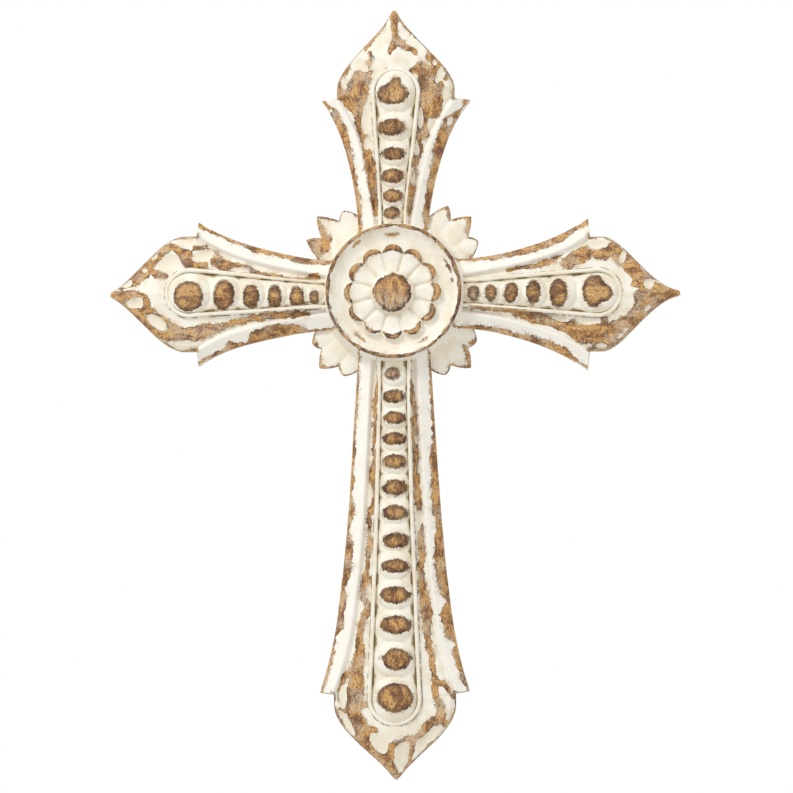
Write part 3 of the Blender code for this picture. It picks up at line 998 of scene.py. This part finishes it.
def leaf_outline():
    """Angle, radius and height round all four leaf groups, each edge of a leaf slightly full."""
    outline = []
    for diagonal, *reaches in LEAF_GROUPS:
        corners = leaf_corners(*reaches)
        for i, (corner, following) in enumerate(zip(corners, corners[1:])):
            fullness = LEAF_FULLNESS if 0 < i < len(corners) - 2 else 0
            for share in np.linspace(0, 1, LEAF_EDGE_POINTS, endpoint=False):
                angle, radius, height = (a + (b - a) * share for a, b in zip(corner, following))
                outline.append((diagonal + angle, radius + 4 * fullness * share * (1 - share), height))
        angle, radius, height = corners[-1]
        outline.append((diagonal + angle, radius, height))
    return np.array(outline)


def leaf_rings():
    angle, radius, height = leaf_outline().T
    angle = np.radians(angle)
    rings = [turned((radius - BACK_INSET) * np.sin(angle), 0, (radius - BACK_INSET) * np.cos(angle), 0)]
    for share in np.linspace(0, 1, LEAF_RINGS):
        reach = radius + (LEAF_ROOT_RADIUS - radius) * share
        level = height + (LEAF_ROOT_HEIGHT - height) * share
        rings.append(turned(reach * np.sin(angle), level, reach * np.cos(angle), 0))
    return np.array(rings)


def add_boolean(obj, operation, collection):
    modifier = obj.modifiers.new(f"{operation.lower()} {collection.name}", "BOOLEAN")
    modifier.operation = operation
    modifier.operand_type = "COLLECTION"
    modifier.collection = collection
    modifier.solver = "MANIFOLD"


def joined_mesh():
    """All the lofts joined into one closed mesh, and the lofts removed."""
    ground = new_collection("ground")
    troughs = new_collection("troughs")
    ornament = new_collection("ornament")
    for limb in LIMBS:
        pattern = limb.pattern
        loft("arm", turn_rings(arm_rings(pattern), limb.turn), ground)
        fillet = hairpin_rings(pattern, FILLET_START, FILLET_PROFILE)
        loft("fillet", turn_rings(fillet, limb.turn), ground)
        trough = hairpin_rings(pattern, TROUGH_START, TROUGH_PROFILE)
        loft("trough", turn_rings(trough, limb.turn), troughs)
        loft("saddles", turn_rings(saddle_rings(pattern), limb.turn), ornament)
        for place, half_length, half_width in pattern.bead_places():
            bead = bead_rings(pattern, place, half_length, half_width)
            loft("bead", turn_rings(bead, limb.turn), ornament)
    medallion = turned_rings(*finer_profile(MEDALLION_PROFILE), MEDALLION_POINTS)
    loft("medallion", moved(medallion, MEDALLION_PLACE), ornament)
    loft("flower", moved(flower_rings(), FLOWER_PLACE), ornament)
    loft("boss", moved(boss_rings(), BOSS_PLACE), ornament)

    base = loft("leaves", leaf_rings(), bpy.context.scene.collection)
    add_boolean(base, "UNION", ground)
    add_boolean(base, "DIFFERENCE", troughs)
    add_boolean(base, "UNION", ornament)
    graph = bpy.context.evaluated_depsgraph_get()
    mesh = bpy.data.meshes.new_from_object(base.evaluated_get(graph))
    bpy.data.objects.remove(base)
    for collection in (ground, troughs, ornament):
        for obj in list(collection.objects):
            bpy.data.objects.remove(obj)
        bpy.data.collections.remove(collection)
    return mesh


def lattice_noise(x, z, size, seed):
    """Smooth random values from -1 to 1 over the plane, with bumps about one size apart."""
    table = np.random.default_rng(FIRST_SEED + seed).uniform(-1, 1, (TABLE_SIZE, TABLE_SIZE))
    u, v = x / size, z / size
    i, j = np.floor(u).astype(int), np.floor(v).astype(int)
    fu, fv = eased(u - i), eased(v - j)
    corner = [[table[(i + a) % TABLE_SIZE, (j + b) % TABLE_SIZE] for b in (0, 1)] for a in (0, 1)]
    near = corner[0][0] * (1 - fv) + corner[0][1] * fv
    far = corner[1][0] * (1 - fv) + corner[1][1] * fv
    return near * (1 - fu) + far * fu


def depth_in_chain(u, v, chain):
    """How far inside a chain of tapering capsules each point lies. It is negative outside."""
    best = np.full(u.shape, -OUT_OF_REACH)
    for (au, av, ar), (bu, bv, br) in zip(chain, chain[1:]):
        du, dv = bu - au, bv - av
        share = np.clip(((u - au) * du + (v - av) * dv) / (du * du + dv * dv), 0, 1)
        distance = np.hypot(u - au - share * du, v - av - share * dv)
        best = np.maximum(best, ar + share * (br - ar) - distance)
    return best


def ellipse_norm(u, v, centre_u, centre_v, half_u, half_v, lean=0.0):
    """0 at an ellipse's centre and 1 on its edge. A positive lean tips its top to the right."""
    angle = math.radians(lean)
    du, dv = u - centre_u, v - centre_v
    side = du * math.cos(angle) - dv * math.sin(angle)
    up = du * math.sin(angle) + dv * math.cos(angle)
    return np.hypot(side / half_u, up / half_v)


def distance_to_outline(x, z):
    """Distance from each point to the leaves' outline."""
    angle, radius, _ = leaf_outline().T
    px, pz = radius * np.sin(np.radians(angle)), radius * np.cos(np.radians(angle))
    best = np.full(x.shape, OUT_OF_REACH)
    for ax, az, bx, bz in zip(px, pz, np.roll(px, -1), np.roll(pz, -1)):
        if math.hypot(bx - ax, bz - az) > 0:
            best = np.minimum(best, -depth_in_chain(x, z, ((ax, az, 0), (bx, bz, 0))))
    return best


def angle_and_radius(x, z, place):
    """Angle clockwise from the top, and distance, of points seen from a place on the board."""
    x, z = x - place[0], z - place[1]
    return np.arctan2(x, z), np.hypot(x, z)


def limb_frame(limb, x, z):
    """Across and along of world points in a limb's own frame."""
    angle = math.radians(limb.turn)
    return x * math.cos(angle) - z * math.sin(angle), x * math.sin(angle) + z * math.cos(angle)


def hairpin_distance(pattern, across, along):
    """Distance outside the row of beads, negative among them."""
    beside = np.abs(across) - pattern.bead_half_width(along)
    beyond = np.hypot(across, along - pattern.last_bead) - pattern.wide_bead
    return np.where(along < pattern.last_bead, beside, beyond)


def outline_depth(pattern, across, along):
    """Distance in from an arm's outer edge."""
    flanged = pattern.outer_half(along) - np.abs(across)
    blade = pattern.blade(along)
    drop = pattern.blade(along - 0.5) - pattern.blade(along + 0.5)
    bladed = (blade - np.abs(across)) / np.hypot(drop, 1)
    flange_end = np.maximum(pattern.notch - along, np.abs(across) - blade)
    return np.where(along > pattern.notch, bladed, np.minimum(flanged, np.maximum(bladed, flange_end)))


def worn_strokes(chains, across, along):
    """Depth into the bare wood of a set of strokes."""
    worn = np.full(across.shape, UNWORN)
    for chain in chains:
        worn = np.maximum(worn, depth_in_chain(across, along, chain))
    return worn


def flange_wear(limb, worn, aside, along, groove):
    """Wear of the flanges: a strip along each outer edge, and strokes that spill over the groove."""
    from_side = limb.pattern.outer_half(along) - np.abs(aside)
    spill = np.interp(along, NARROW_FIELD, SPILL_OVER_GROOVE) + groove - np.abs(aside)
    spill = np.minimum(worn, spill)
    for side, edge in ((-1, limb.left_edge), (1, limb.right_edge)):
        places, widths = zip(*edge)
        strip = np.interp(along, places, widths) - from_side
        worn = np.where(np.sign(aside) == side, np.maximum(spill, strip), worn)
    return worn


def kept_islands(limb, across, along):
    """Distance outside the kept islands, how calmly their edges run, and how deep they are scooped."""
    outside = np.full(across.shape, OUT_OF_REACH)
    calm = np.zeros(across.shape)
    scooped = np.zeros(across.shape)
    for u, v, half_u, half_v, lean in limb.islands:
        norm = ellipse_norm(across, along, u, v, half_u, half_v, lean)
        off_edge = (norm - 1) * min(half_u, half_v)
        outside = np.minimum(outside, off_edge)
        calm = np.maximum(calm, ISLAND_CALM * ramp(np.abs(off_edge), *ISLAND_CALM_FADE))
        scooped = np.maximum(scooped, np.clip(1 - norm**2, 0, 1))
    return outside, calm, scooped


def trough_pocket_shade(pattern, aside, along):
    """How deep each point lies in the pockets beside and between the beads, from 0 to 1, which sets the
    olive painted shade there.
    """
    gap = np.full(aside.shape, FAR_OFF)
    for place, half_length, half_width in pattern.bead_places():
        norm = ellipse_norm(aside, along, 0, place, half_width, BEAD_OVERLAP * half_length)
        gap = np.minimum(gap, (norm - 1) * half_width)
    beside = pattern.bead_half_width(along) - np.abs(aside)
    return ramp(beside, *POCKET_SIDE) * ramp(gap, *POCKET_GAP)


class Carving:
    """What is known of every point of the joined mesh, as arrays with one value a point.

    Bare is the depth into bare wood, rim the distance in from the outline, and shift the height that
    the gouge adds; one more array holds the distance from the fillet's foot. Grain is the place in the
    wood's own frame. Painted highlight and shade, calm, haze and burnt tell the paint and the wood
    how to look.
    """

    def __init__(self, mesh):
        points = np.empty(len(mesh.vertices) * 3)
        mesh.vertices.foreach_get("co", points)
        points = points.reshape(-1, 3) / METRES
        self.x, self.height, self.z = points[:, 0], -points[:, 1], points[:, 2]
        self.radius = np.hypot(self.x, self.z)
        self.ring_distance = angle_and_radius(self.x, self.z, MEDALLION_PLACE)[1] - RING_RADIUS
        self.on_medallion = (self.ring_distance < MEDALLION_EDGE) & (self.height > MEDALLION_FLOOR)
        count = len(points)
        self.bare = np.full(count, UNWORN)
        self.rim = np.full(count, FAR_OFF)
        self.fillet_foot_distance = np.full(count, FAR_OFF)
        self.tone = np.zeros(count)
        self.calm = np.zeros(count)
        self.haze = np.zeros(count)
        self.burnt = np.zeros(count)
        self.shift = np.zeros(count)
        self.grain = points.copy()

    def carve_limb(self, limb):
        """Wear, tool marks and tones of one limb's field, flanges, trough and beads."""
        pattern = limb.pattern
        across, along = limb_frame(limb, self.x, self.z)
        aside = across - pattern.stray(along)
        inside = np.abs(aside) < pattern.outer_half(np.minimum(along, pattern.notch)) + LIMB_SLACK
        here = (along > LIMB_START) & inside & (self.height > WALL_TOP) & ~self.on_medallion
        here &= (along > np.abs(across)) & (self.ring_distance > LIMB_UNDER_RING)
        across, along, aside = across[here], along[here], aside[here]
        height = self.height[here]
        self.grain[here] = points_of(across, -height, along)

        depth = outline_depth(pattern, aside, along)
        hairpin = hairpin_distance(pattern, aside, along)
        groove = pattern.groove_half(np.minimum(along, pattern.notch))
        field_edge = np.interp(along, NARROW_FIELD, FIELD_FROM_BEADS)
        field = (hairpin > field_edge) & ((np.abs(aside) < groove) | (along > pattern.notch))
        flange = (np.abs(aside) > groove) & (along < pattern.notch)

        worn = worn_strokes(limb.strokes, across, along)
        worn = np.where(flange, flange_wear(limb, worn, aside, along, groove), worn)
        outside, calm, scooped = kept_islands(limb, across, along)
        worn = np.where(field | flange, np.minimum(worn, outside), UNWORN)

        ripple = lattice_noise(across, along, TOOL_RIPPLE_SIZE, RIPPLE_SEED)
        ripple *= np.where(field | flange, TOOL_RIPPLE, 0)
        ridge = BARE_RIDGE * eased(ramp(worn, *BARE_RIDGE_RISE))
        fade = ramp(depth, *OUTLINE_FADE) * ramp(hairpin, *FILLET_FADE)
        self.shift[here] = fade * (ripple + np.where(field, ridge - SCOOP_DEPTH * scooped, 0))
        self.rim[here] = np.maximum(depth, 0)
        self.fillet_foot_distance[here] = np.abs(hairpin - FILLET_WIDTH)
        # The pockets between the beads and the trough's walls get olive painted shade
        sunk = (hairpin < POCKET_ROOM) & (height < FILLET_HEIGHT - POCKET_ROOM)
        pocket_shade = np.where(sunk, trough_pocket_shade(pattern, aside, along), 0)
        # Gouge scoops in the field get warm painted shade, and the flanges painted highlight
        hollow_shade = np.maximum(SCOOP_PAINTED_SHADE * (scooped > 0) * field, pocket_shade)
        self.tone[here] = np.where(flange, FLANGE_PAINTED_HIGHLIGHT, hollow_shade)

        on_bead = (hairpin < 0) & (height > BEAD_FLOOR)
        haze = self.haze[here]
        for u, v, half_u, half_v, top_haze in limb.bead_tops:
            norm = ellipse_norm(across, along, u, v, half_u, half_v)
            top = np.where(on_bead, (1 - norm) * min(half_u, half_v), UNWORN)
            haze = np.where((top > worn) & (top > -1), top_haze, haze)
            worn = np.maximum(worn, top)
        self.haze[here] = haze
        self.bare[here] = worn
        self.burnt[here] = on_bead
        self.calm[here] = np.where(on_bead, BEAD_CALM, calm)

    def wear_medallion(self):
        """The ring's arris, the petals' rims and the boss are bare, and the dish is scratched."""
        here = self.on_medallion
        x, z, height = self.x[here], self.z[here], self.height[here]
        angle, radius = angle_and_radius(x, z, MEDALLION_PLACE)
        circle_x, circle_z = RING_WEAR_CIRCLE * np.sin(angle), RING_WEAR_CIRCLE * np.cos(angle)
        change = lattice_noise(circle_x, circle_z, RING_WEAR_SIZE, RING_WEAR_SEED)
        bare = RING_WEAR + RING_WEAR_CHANGE * change - np.abs(radius - RING_RADIUS + RING_WEAR_INSET)
        for middle, span, arc_radius, half_width in DISH_SCRATCHES:
            off = (np.degrees(angle) - middle + 180) % 360 - 180
            width = half_width * (1 - (off / span) ** 2) - SCRATCH_INSET
            bare = np.maximum(bare, width - np.abs(radius - arc_radius))

        angle, radius = angle_and_radius(x, z, FLOWER_PLACE)
        aside = off_petal_middle(angle) / HALF_PETAL
        reach = petal_reach(angle)
        petal = np.round(angle / (2 * HALF_PETAL)).astype(int) % PETALS
        wear, inset = (np.array(column)[petal] for column in zip(*PETAL_WEAR))
        width = wear * (1 - aside**PETAL_WEAR_TAPER) - PETAL_WEAR_INSET
        crescent = width - np.abs(radius - (reach - inset))
        on_petal = (radius < reach + FLOWER_SLACK) & (height > FLOWER_FLOOR)
        bare = np.where(on_petal, np.maximum(bare, crescent), bare)
        from_boss = angle_and_radius(x, z, BOSS_PLACE)[1]
        on_boss = (from_boss < BOSS_RADIUS + BOSS_SLACK) & (height > BOSS_FLOOR)
        bare = np.where(on_boss, BOSS_WEAR - from_boss, bare)
        on_ring = np.abs(self.ring_distance[here]) < RING_HALF_WIDTH

        parts = [on_boss, on_petal, on_ring]
        # The boss's lower side, which faces down, gets olive painted shade; the petals get painted
        # highlight and their clefts painted shade
        above_boss = z - BOSS_PLACE[1]
        flank_shade = BOSS_FLANK_PAINTED_SHADE * ramp(above_boss, BOSS_RADIUS / 2, -BOSS_RADIUS / 2)
        cleft = PETAL_PAINTED_HIGHLIGHT + (CLEFT_PAINTED_SHADE - PETAL_PAINTED_HIGHLIGHT) * ramp(aside, CLEFT_SHADE_START, 1)
        self.bare[here] = np.clip(bare, UNWORN, DEEPEST_WEAR)
        self.calm[here] = np.select(parts, [0, PETAL_CALM, RING_CALM])
        self.burnt[here] = np.select(parts, [BOSS_BURNT, PETAL_BURNT, RING_BURNT])
        self.haze[here] = np.where(on_boss, ramp(above_boss, *BOSS_HAZE), 0)
        self.tone[here] = np.select([on_boss, on_petal], [flank_shade, cleft], DISH_TONE)
        self.rim[here] = FAR_OFF
        ripple = TOOL_RIPPLE * lattice_noise(x, z, TOOL_RIPPLE_SIZE, DISH_RIPPLE_SEED)
        ripple = np.where(radius > reach, ripple, PETAL_RIPPLE_SHARE * ripple)
        self.shift[here] = ripple * (height < RING_HEIGHT - 1)

    def wear_leaves(self):
        """Worn places of the leaves, and the creases between them and down their middles."""
        here = (self.height < LEAF_ROOT_HEIGHT + LEAF_SLACK) & (self.height > LEAF_FLOOR)
        here &= self.ring_distance > 0
        for limb in LIMBS:
            across, along = limb_frame(limb, self.x, self.z)
            aside = np.abs(across - limb.pattern.stray(along))
            side = limb.pattern.outer_half(along) - BACK_INSET - LEAF_SLACK
            here &= (aside > side) | (along < 0)
        longest = max(reach for _, *reaches in LEAF_GROUPS for reach in reaches)
        here &= self.radius < longest + LEAF_TIP_SLACK
        x, z = self.x[here], self.z[here]
        edge = distance_to_outline(x, z)
        self.bare[here] = worn_strokes(WORN_LEAVES, x, z)
        self.rim[here] = np.minimum(edge, RIM_LIMIT)
        turn = np.degrees(np.arctan2(x, z)) % 90 - 45
        crease = np.exp(-(((np.abs(turn) - LEAF_CREASE_ANGLE) / LEAF_CREASE_SPREAD) ** 2))
        crease += LEAF_VEIN_SHARE * np.exp(-((turn / LEAF_CREASE_SPREAD) ** 2))
        fade = ramp(self.radius[here], *LEAF_CREASE_START) * ramp(edge, *LEAF_CREASE_RIM)
        self.shift[here] = -LEAF_CREASE_DEPTH * fade * crease

    def wear_walls(self):
        """The low outer walls are bare but for the medallion's, and the back is bare wood."""
        wall = (self.height < WALL_TOP) & (self.rim > RIM_LIMIT)
        self.bare[wall] = np.where(self.radius[wall] < MEDALLION_FOOT, UNWORN, WALL_WEAR)
        back = self.height < BACK_SLACK
        self.bare[back] = BACK_WEAR
        self.burnt[back] = 1
        self.grain[back, 2] *= BACK_GRAIN

    def moved_points(self):
        """The points once the gouge's depth and the hand's wandering are added."""
        arm_tip, shaft_tip = ARM_REACH - FIRM_TIP, SHAFT_REACH - FIRM_TIP
        loose = ramp(self.radius, arm_tip, arm_tip - TIP_FADE)
        down_shaft = (self.z < -ARM_REACH) * ramp(-self.z, shaft_tip, shaft_tip - TIP_FADE)
        wander = WANDER * np.maximum(loose, down_shaft)
        x, z = (
            place + wander * lattice_noise(self.x, self.z, WANDER_SIZE, seed)
            for place, seed in zip((self.x, self.z), WANDER_SEEDS)
        )
        points = points_of(x, -self.height - self.shift, z) * METRES
        return np.clip(points, np.array(CAD_LOW), np.array(CAD_HIGH))


def store(mesh, name, values, kind="FLOAT"):
    attribute = mesh.attributes.new(name, kind, "POINT")
    field = "vector" if kind == "FLOAT_VECTOR" else "value"
    attribute.data.foreach_set(field, np.ravel(values).astype(np.float32))


def carved_cross():
    mesh = joined_mesh()
    carving = Carving(mesh)
    for limb in LIMBS:
        carving.carve_limb(limb)
    carving.wear_medallion()
    carving.wear_leaves()
    carving.wear_walls()
    mesh.vertices.foreach_set("co", np.ravel(carving.moved_points()))
    for name in ("bare", "rim", "fillet_foot_distance", "calm", "haze", "tone", "burnt"):
        store(mesh, name, getattr(carving, name))
    store(mesh, "grain", carving.grain, "FLOAT_VECTOR")
    mesh.update()
    mesh.shade_smooth()
    mesh.set_sharp_from_angle(angle=math.radians(SHARP_ANGLE))
    return add_object("carved_cross", mesh)


def screen_colour(colour):
    """A colour as the shader takes it, from screen values of 0 to 255."""
    shares = [value / 255 for value in colour]
    linear = [share / 12.92 if share <= 0.04045 else ((share + 0.055) / 1.055) ** 2.4 for share in shares]
    return (*linear, 1.0)


class Shader:
    """A material's node tree, with short calls for the nodes it needs."""

    def __init__(self, name):
        self.material = bpy.data.materials.new(name)
        self.material.use_nodes = True
        self.tree = self.material.node_tree
        self.surface = self.tree.nodes["Principled BSDF"]

    def node(self, kind, inputs=(), **settings):
        node = self.tree.nodes.new("ShaderNode" + kind)
        for key, value in settings.items():
            setattr(node, key, value)
        for key, value in dict(inputs).items():
            self.set(node.inputs[key], value)
        return node

    def set(self, socket, value):
        if isinstance(value, bpy.types.NodeSocket):
            self.tree.links.new(value, socket)
        else:
            socket.default_value = value

    def attribute(self, name, output="Fac"):
        return self.node("Attribute", attribute_name=name).outputs[output]

    def maths(self, operation, first, second):
        return self.node("Math", {0: first, 1: second}, operation=operation).outputs[0]

    def plus(self, first, second):
        return self.maths("ADD", first, second)

    def times(self, first, second):
        return self.maths("MULTIPLY", first, second)

    def step(self, value, low, high, start=0.0, end=1.0):
        """A smooth step from start to end as the value goes from low to high."""
        inputs = {"Value": value, "From Min": low, "From Max": high, "To Min": start, "To Max": end}
        return self.node("MapRange", inputs, interpolation_type="SMOOTHSTEP").outputs["Result"]

    def stretched(self, vector, scale):
        return self.node("VectorMath", {0: vector, 1: scale}, operation="MULTIPLY").outputs[0]

    def noise(self, vector, size, detail, roughness=0.55, distortion=0.0):
        """Noise from 0 to 1 whose main bumps are about one size apart."""
        inputs = {"Vector": vector, "Scale": 1 / size, "Detail": detail}
        inputs |= {"Roughness": roughness, "Distortion": distortion}
        return self.node("TexNoise", inputs).outputs["Fac"]

    def mix(self, share, first, second):
        """A mix of two colours, each a socket or screen values."""
        node = self.node("Mix", data_type="RGBA")
        self.set(node.inputs[MIX_SHARE], share)
        for index, colour in ((MIX_FIRST, first), (MIX_SECOND, second)):
            self.set(node.inputs[index], screen_colour(colour) if isinstance(colour, tuple) else colour)
        return node.outputs[MIX_RESULT]

    def layered(self, base, *layers):
        """A colour with others over it, each at most at its share, as a value goes from low to high."""
        for value, low, high, share, colour in layers:
            base = self.mix(self.step(value, low, high, 0.0, share), base, colour)
        return base


def paint_edge(shader, noises):
    """Distance in from the paint's edge in millimetres, positive on bare wood."""
    unrest = shader.step(noises.coarse, 0.3, 0.7, -0.6, 1.2)
    rough = shader.plus(shader.times(noises.softness, 0.6), 0.2)
    rough = shader.times(rough, shader.step(noises.ragged, 0.3, 0.7, -1.0, 1.0))
    restless = shader.maths("SUBTRACT", 1.0, shader.attribute("calm"))
    unrest = shader.times(shader.plus(unrest, rough), restless)
    hairs = shader.step(noises.hairs, 0.32, 0.68, -0.35, 0.55)
    unrest = shader.plus(unrest, shader.times(shader.attribute("burnt"), hairs))
    edge = shader.plus(shader.attribute("bare"), unrest)
    rim_wear = shader.step(noises.patchy, 0.4, 0.62, 0.7, 2.3)
    rim_wear = shader.plus(rim_wear, shader.step(noises.ragged, 0.35, 0.65, -0.3, 0.3))
    rim_wear = shader.maths("SUBTRACT", rim_wear, shader.attribute("rim"))
    return shader.maths("MAXIMUM", edge, rim_wear)


def wood_colour(shader, noises, edge):
    """Golden and brown fibres with dark mottling, darkest along the paint's edge, and hazy in places."""
    burnt = shader.attribute("burnt")
    wood = shader.mix(shader.step(noises.mottled, 0.44, 0.56), BROWN_WOOD, GOLDEN_WOOD)
    wood = shader.layered(
        wood,
        (noises.fibres, 0.5, 0.62, 0.6, BROWN_WOOD),
        (noises.fine, 0.47, 0.35, 0.6, PALE_WOOD),
        (noises.fine, 0.52, 0.62, 0.7, DARK_WOOD),
        (noises.mottled, 0.46, 0.36, 0.6, DARK_WOOD),
    )
    hazy = shader.times(shader.step(noises.patchy, 0.46, 0.62), shader.step(noises.ragged, 0.35, 0.65))
    hazy = shader.times(hazy, shader.maths("SUBTRACT", 0.75, burnt))
    hazy = shader.maths("MAXIMUM", hazy, shader.times(shader.attribute("haze"), noises.streaks))
    wood = shader.mix(hazy, wood, HAZE)
    reach = shader.plus(shader.times(burnt, 3.4), 0.8)
    near_edge = shader.step(shader.maths("DIVIDE", edge, reach), 1.0, 0.25)
    strength = shader.step(noises.mottled, 0.6, 0.4, 0.3, 1.0)
    strength = shader.maths("MAXIMUM", strength, shader.times(burnt, 0.7))
    return shader.mix(shader.times(near_edge, strength), wood, BURNT_EDGE_AND_CREASE_SHADE)


def paint_colour(shader, noises, edge):
    """Cream paint with painted highlight and shade: chalk white on the high bands, warmer in the hollows
    and dark olive in the deepest corners, and a dark line at the fillet's foot that is partly painted shade
    and partly a split in the paint.
    """
    tone = shader.attribute("tone")
    paint = shader.mix(shader.step(noises.patchy, 0.4, 0.6), CREAM, WARM_CREAM_AND_SHADE)
    paint = shader.layered(
        paint,
        (noises.coarse, 0.55, 0.7, 0.5, CHALK_AND_HIGHLIGHT),
        # These three layers paint light and shade: chalk white on raised bands as painted highlight, warm
        # cream and olive in hollows as painted shade
        (tone, 0.0, -1.0, 0.85, CHALK_AND_HIGHLIGHT),
        (tone, 0.0, 0.5, 0.9, WARM_CREAM_AND_SHADE),
        (tone, 0.5, 1.0, 0.9, OLIVE_PAINTED_SHADE),
    )
    reach = shader.step(noises.patchy, 0.42, 0.66, -0.7, -4.5)
    thin = shader.step(shader.maths("DIVIDE", edge, reach), 1.0, 0.0)
    thin = shader.times(thin, shader.step(noises.ragged, 0.4, 0.64, 0.1, 0.85))
    paint = shader.mix(thin, paint, HAZE)
    # A dark line along the fillet's outer foot: partly painted shade in that crease, partly a split in the
    # paint
    fillet_foot_shade_and_crack = shader.step(shader.attribute("fillet_foot_distance"), 0.5, 0.15)
    fillet_foot_shade_and_crack = shader.times(fillet_foot_shade_and_crack, shader.step(noises.coarse, 0.42, 0.56, 0.0, 0.85))
    return shader.mix(fillet_foot_shade_and_crack, paint, BURNT_EDGE_AND_CREASE_SHADE)


def shared_noises(shader):
    """The noises that the wood, the paint and the edge between them share, with sizes in millimetres."""
    millimetres = 1 / METRES
    place = shader.stretched(shader.node("TexCoord").outputs["Object"], [millimetres] * 3)
    grain = shader.attribute("grain", "Vector")

    def along_grain(squeeze, *settings):
        return shader.noise(shader.stretched(grain, (1.0, 1.0, squeeze)), *settings)

    return SimpleNamespace(
        coarse=shader.noise(place, 5.0, 2.0),
        ragged=shader.noise(place, 1.7, 3.0, 0.65),
        patchy=shader.noise(place, 13.0, 2.0),
        mottled=along_grain(0.55, 6.5, 5.0, 0.64, 0.5),
        fibres=along_grain(0.16, 1.6, 4.0, 0.65, 0.6),
        fine=along_grain(0.5, 0.9, 3.0, 0.65),
        hairs=along_grain(0.3, 1.1, 2.0, 0.6),
        streaks=shader.step(along_grain(0.22, 1.5, 3.0, 0.6), 0.36, 0.6),
        softness=shader.step(shader.noise(place, 16.0, 1.0, 0.5, 0.5), 0.48, 0.6),
    )


def painted_wood():
    """Chalky cream paint, worn in ragged patches down to golden and brown wood with dark edges."""
    shader = Shader("worn_cream_paint")
    noises = shared_noises(shader)
    edge = paint_edge(shader, noises)
    blend = shader.plus(shader.times(noises.softness, 0.9), 0.2)
    wood_share = shader.step(shader.maths("DIVIDE", edge, blend), -0.8, 1.0)
    paint = paint_colour(shader, noises, edge)
    wood = wood_colour(shader, noises, edge)
    shader.set(shader.surface.inputs["Base Color"], shader.mix(wood_share, paint, wood))

    roughness = shader.step(wood_share, 0.0, 1.0, 0.68, 0.55)
    shader.set(shader.surface.inputs["Roughness"], roughness)
    paint_film = shader.step(wood_share, 0.0, 1.0, 0.3, 0.0)
    brushed = shader.step(noises.fine, 0.3, 0.7, 0.0, 0.05)
    ribbed = shader.times(shader.times(noises.fibres, wood_share), 0.3)
    relief = shader.plus(shader.plus(paint_film, brushed), ribbed)
    bump = shader.node("Bump", {"Height": relief, "Distance": METRES, "Strength": 0.8})
    shader.set(shader.surface.inputs["Normal"], bump.outputs[0])
    return shader.material


def add_camera():
    azimuth, elevation = math.radians(CAMERA_AZIMUTH), math.radians(CAMERA_ELEVATION)
    level = math.cos(elevation)
    away = Vector((math.sin(azimuth) * level, -math.cos(azimuth) * level, math.sin(elevation)))
    data = bpy.data.cameras.new("camera")
    data.sensor_width = SENSOR_WIDTH
    data.lens = SENSOR_WIDTH * CAMERA_DISTANCE / FRAME_WIDTH
    data.clip_end = VIEW_DEPTH
    camera = add_object("camera", data)
    turn = (-away).to_track_quat("-Z", "Y").to_matrix()
    turn = turn @ Matrix.Rotation(math.radians(CAMERA_ROLL), 3, "Z")
    camera.matrix_world = Matrix.Translation(CAMERA_AIM + CAMERA_DISTANCE * away) @ turn.to_4x4()
    bpy.context.scene.camera = camera


def add_key_light():
    data = bpy.data.lights.new("key_light", "AREA")
    data.shape = "DISK"
    data.size = KEY_SIZE
    data.energy = KEY_POWER
    light = add_object("key_light", data)
    light.location = KEY_PLACE
    light.rotation_euler = (CAMERA_AIM - KEY_PLACE).to_track_quat("-Z", "Y").to_euler()


def add_floor():
    mesh = bpy.data.meshes.new("floor")
    half = FLOOR_SIZE / 2
    corners = [(-half, -half, 0), (half, -half, 0), (half, half, 0), (-half, half, 0)]
    mesh.from_pydata(corners, [], [(0, 1, 2, 3)])
    floor = add_object("floor", mesh)
    floor.location.z = FLOOR_HEIGHT
    material = bpy.data.materials.new("pale_floor")
    material.use_nodes = True
    shader = material.node_tree.nodes["Principled BSDF"]
    shader.inputs["Base Color"].default_value = FLOOR_COLOUR
    shader.inputs["Roughness"].default_value = FLOOR_ROUGHNESS
    mesh.materials.append(material)


def add_studio():
    """Surroundings that the camera sees as white, with a large soft light from the upper left."""
    world = bpy.data.worlds.new("white_room")
    world.use_nodes = True
    nodes, links = world.node_tree.nodes, world.node_tree.links
    background = nodes["Background"]
    background.inputs["Color"].default_value = (1, 1, 1, 1)
    seen = nodes.new("ShaderNodeLightPath").outputs["Is Camera Ray"]
    strength = nodes.new("ShaderNodeMath")
    strength.operation = "MULTIPLY_ADD"
    links.new(seen, strength.inputs[0])
    strength.inputs[1].default_value = 1 - WORLD_LIGHT
    strength.inputs[2].default_value = WORLD_LIGHT
    links.new(strength.outputs[0], background.inputs["Strength"])
    bpy.context.scene.world = world
    bpy.context.scene.view_settings.view_transform = "Standard"
    add_key_light()
    add_floor()
    add_camera()


def build():
    cross = carved_cross()
    cross.data.materials.clear()
    cross.data.materials.append(painted_wood())
    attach(cross, "root")
    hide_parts("wall_cross")
    add_studio()


build()
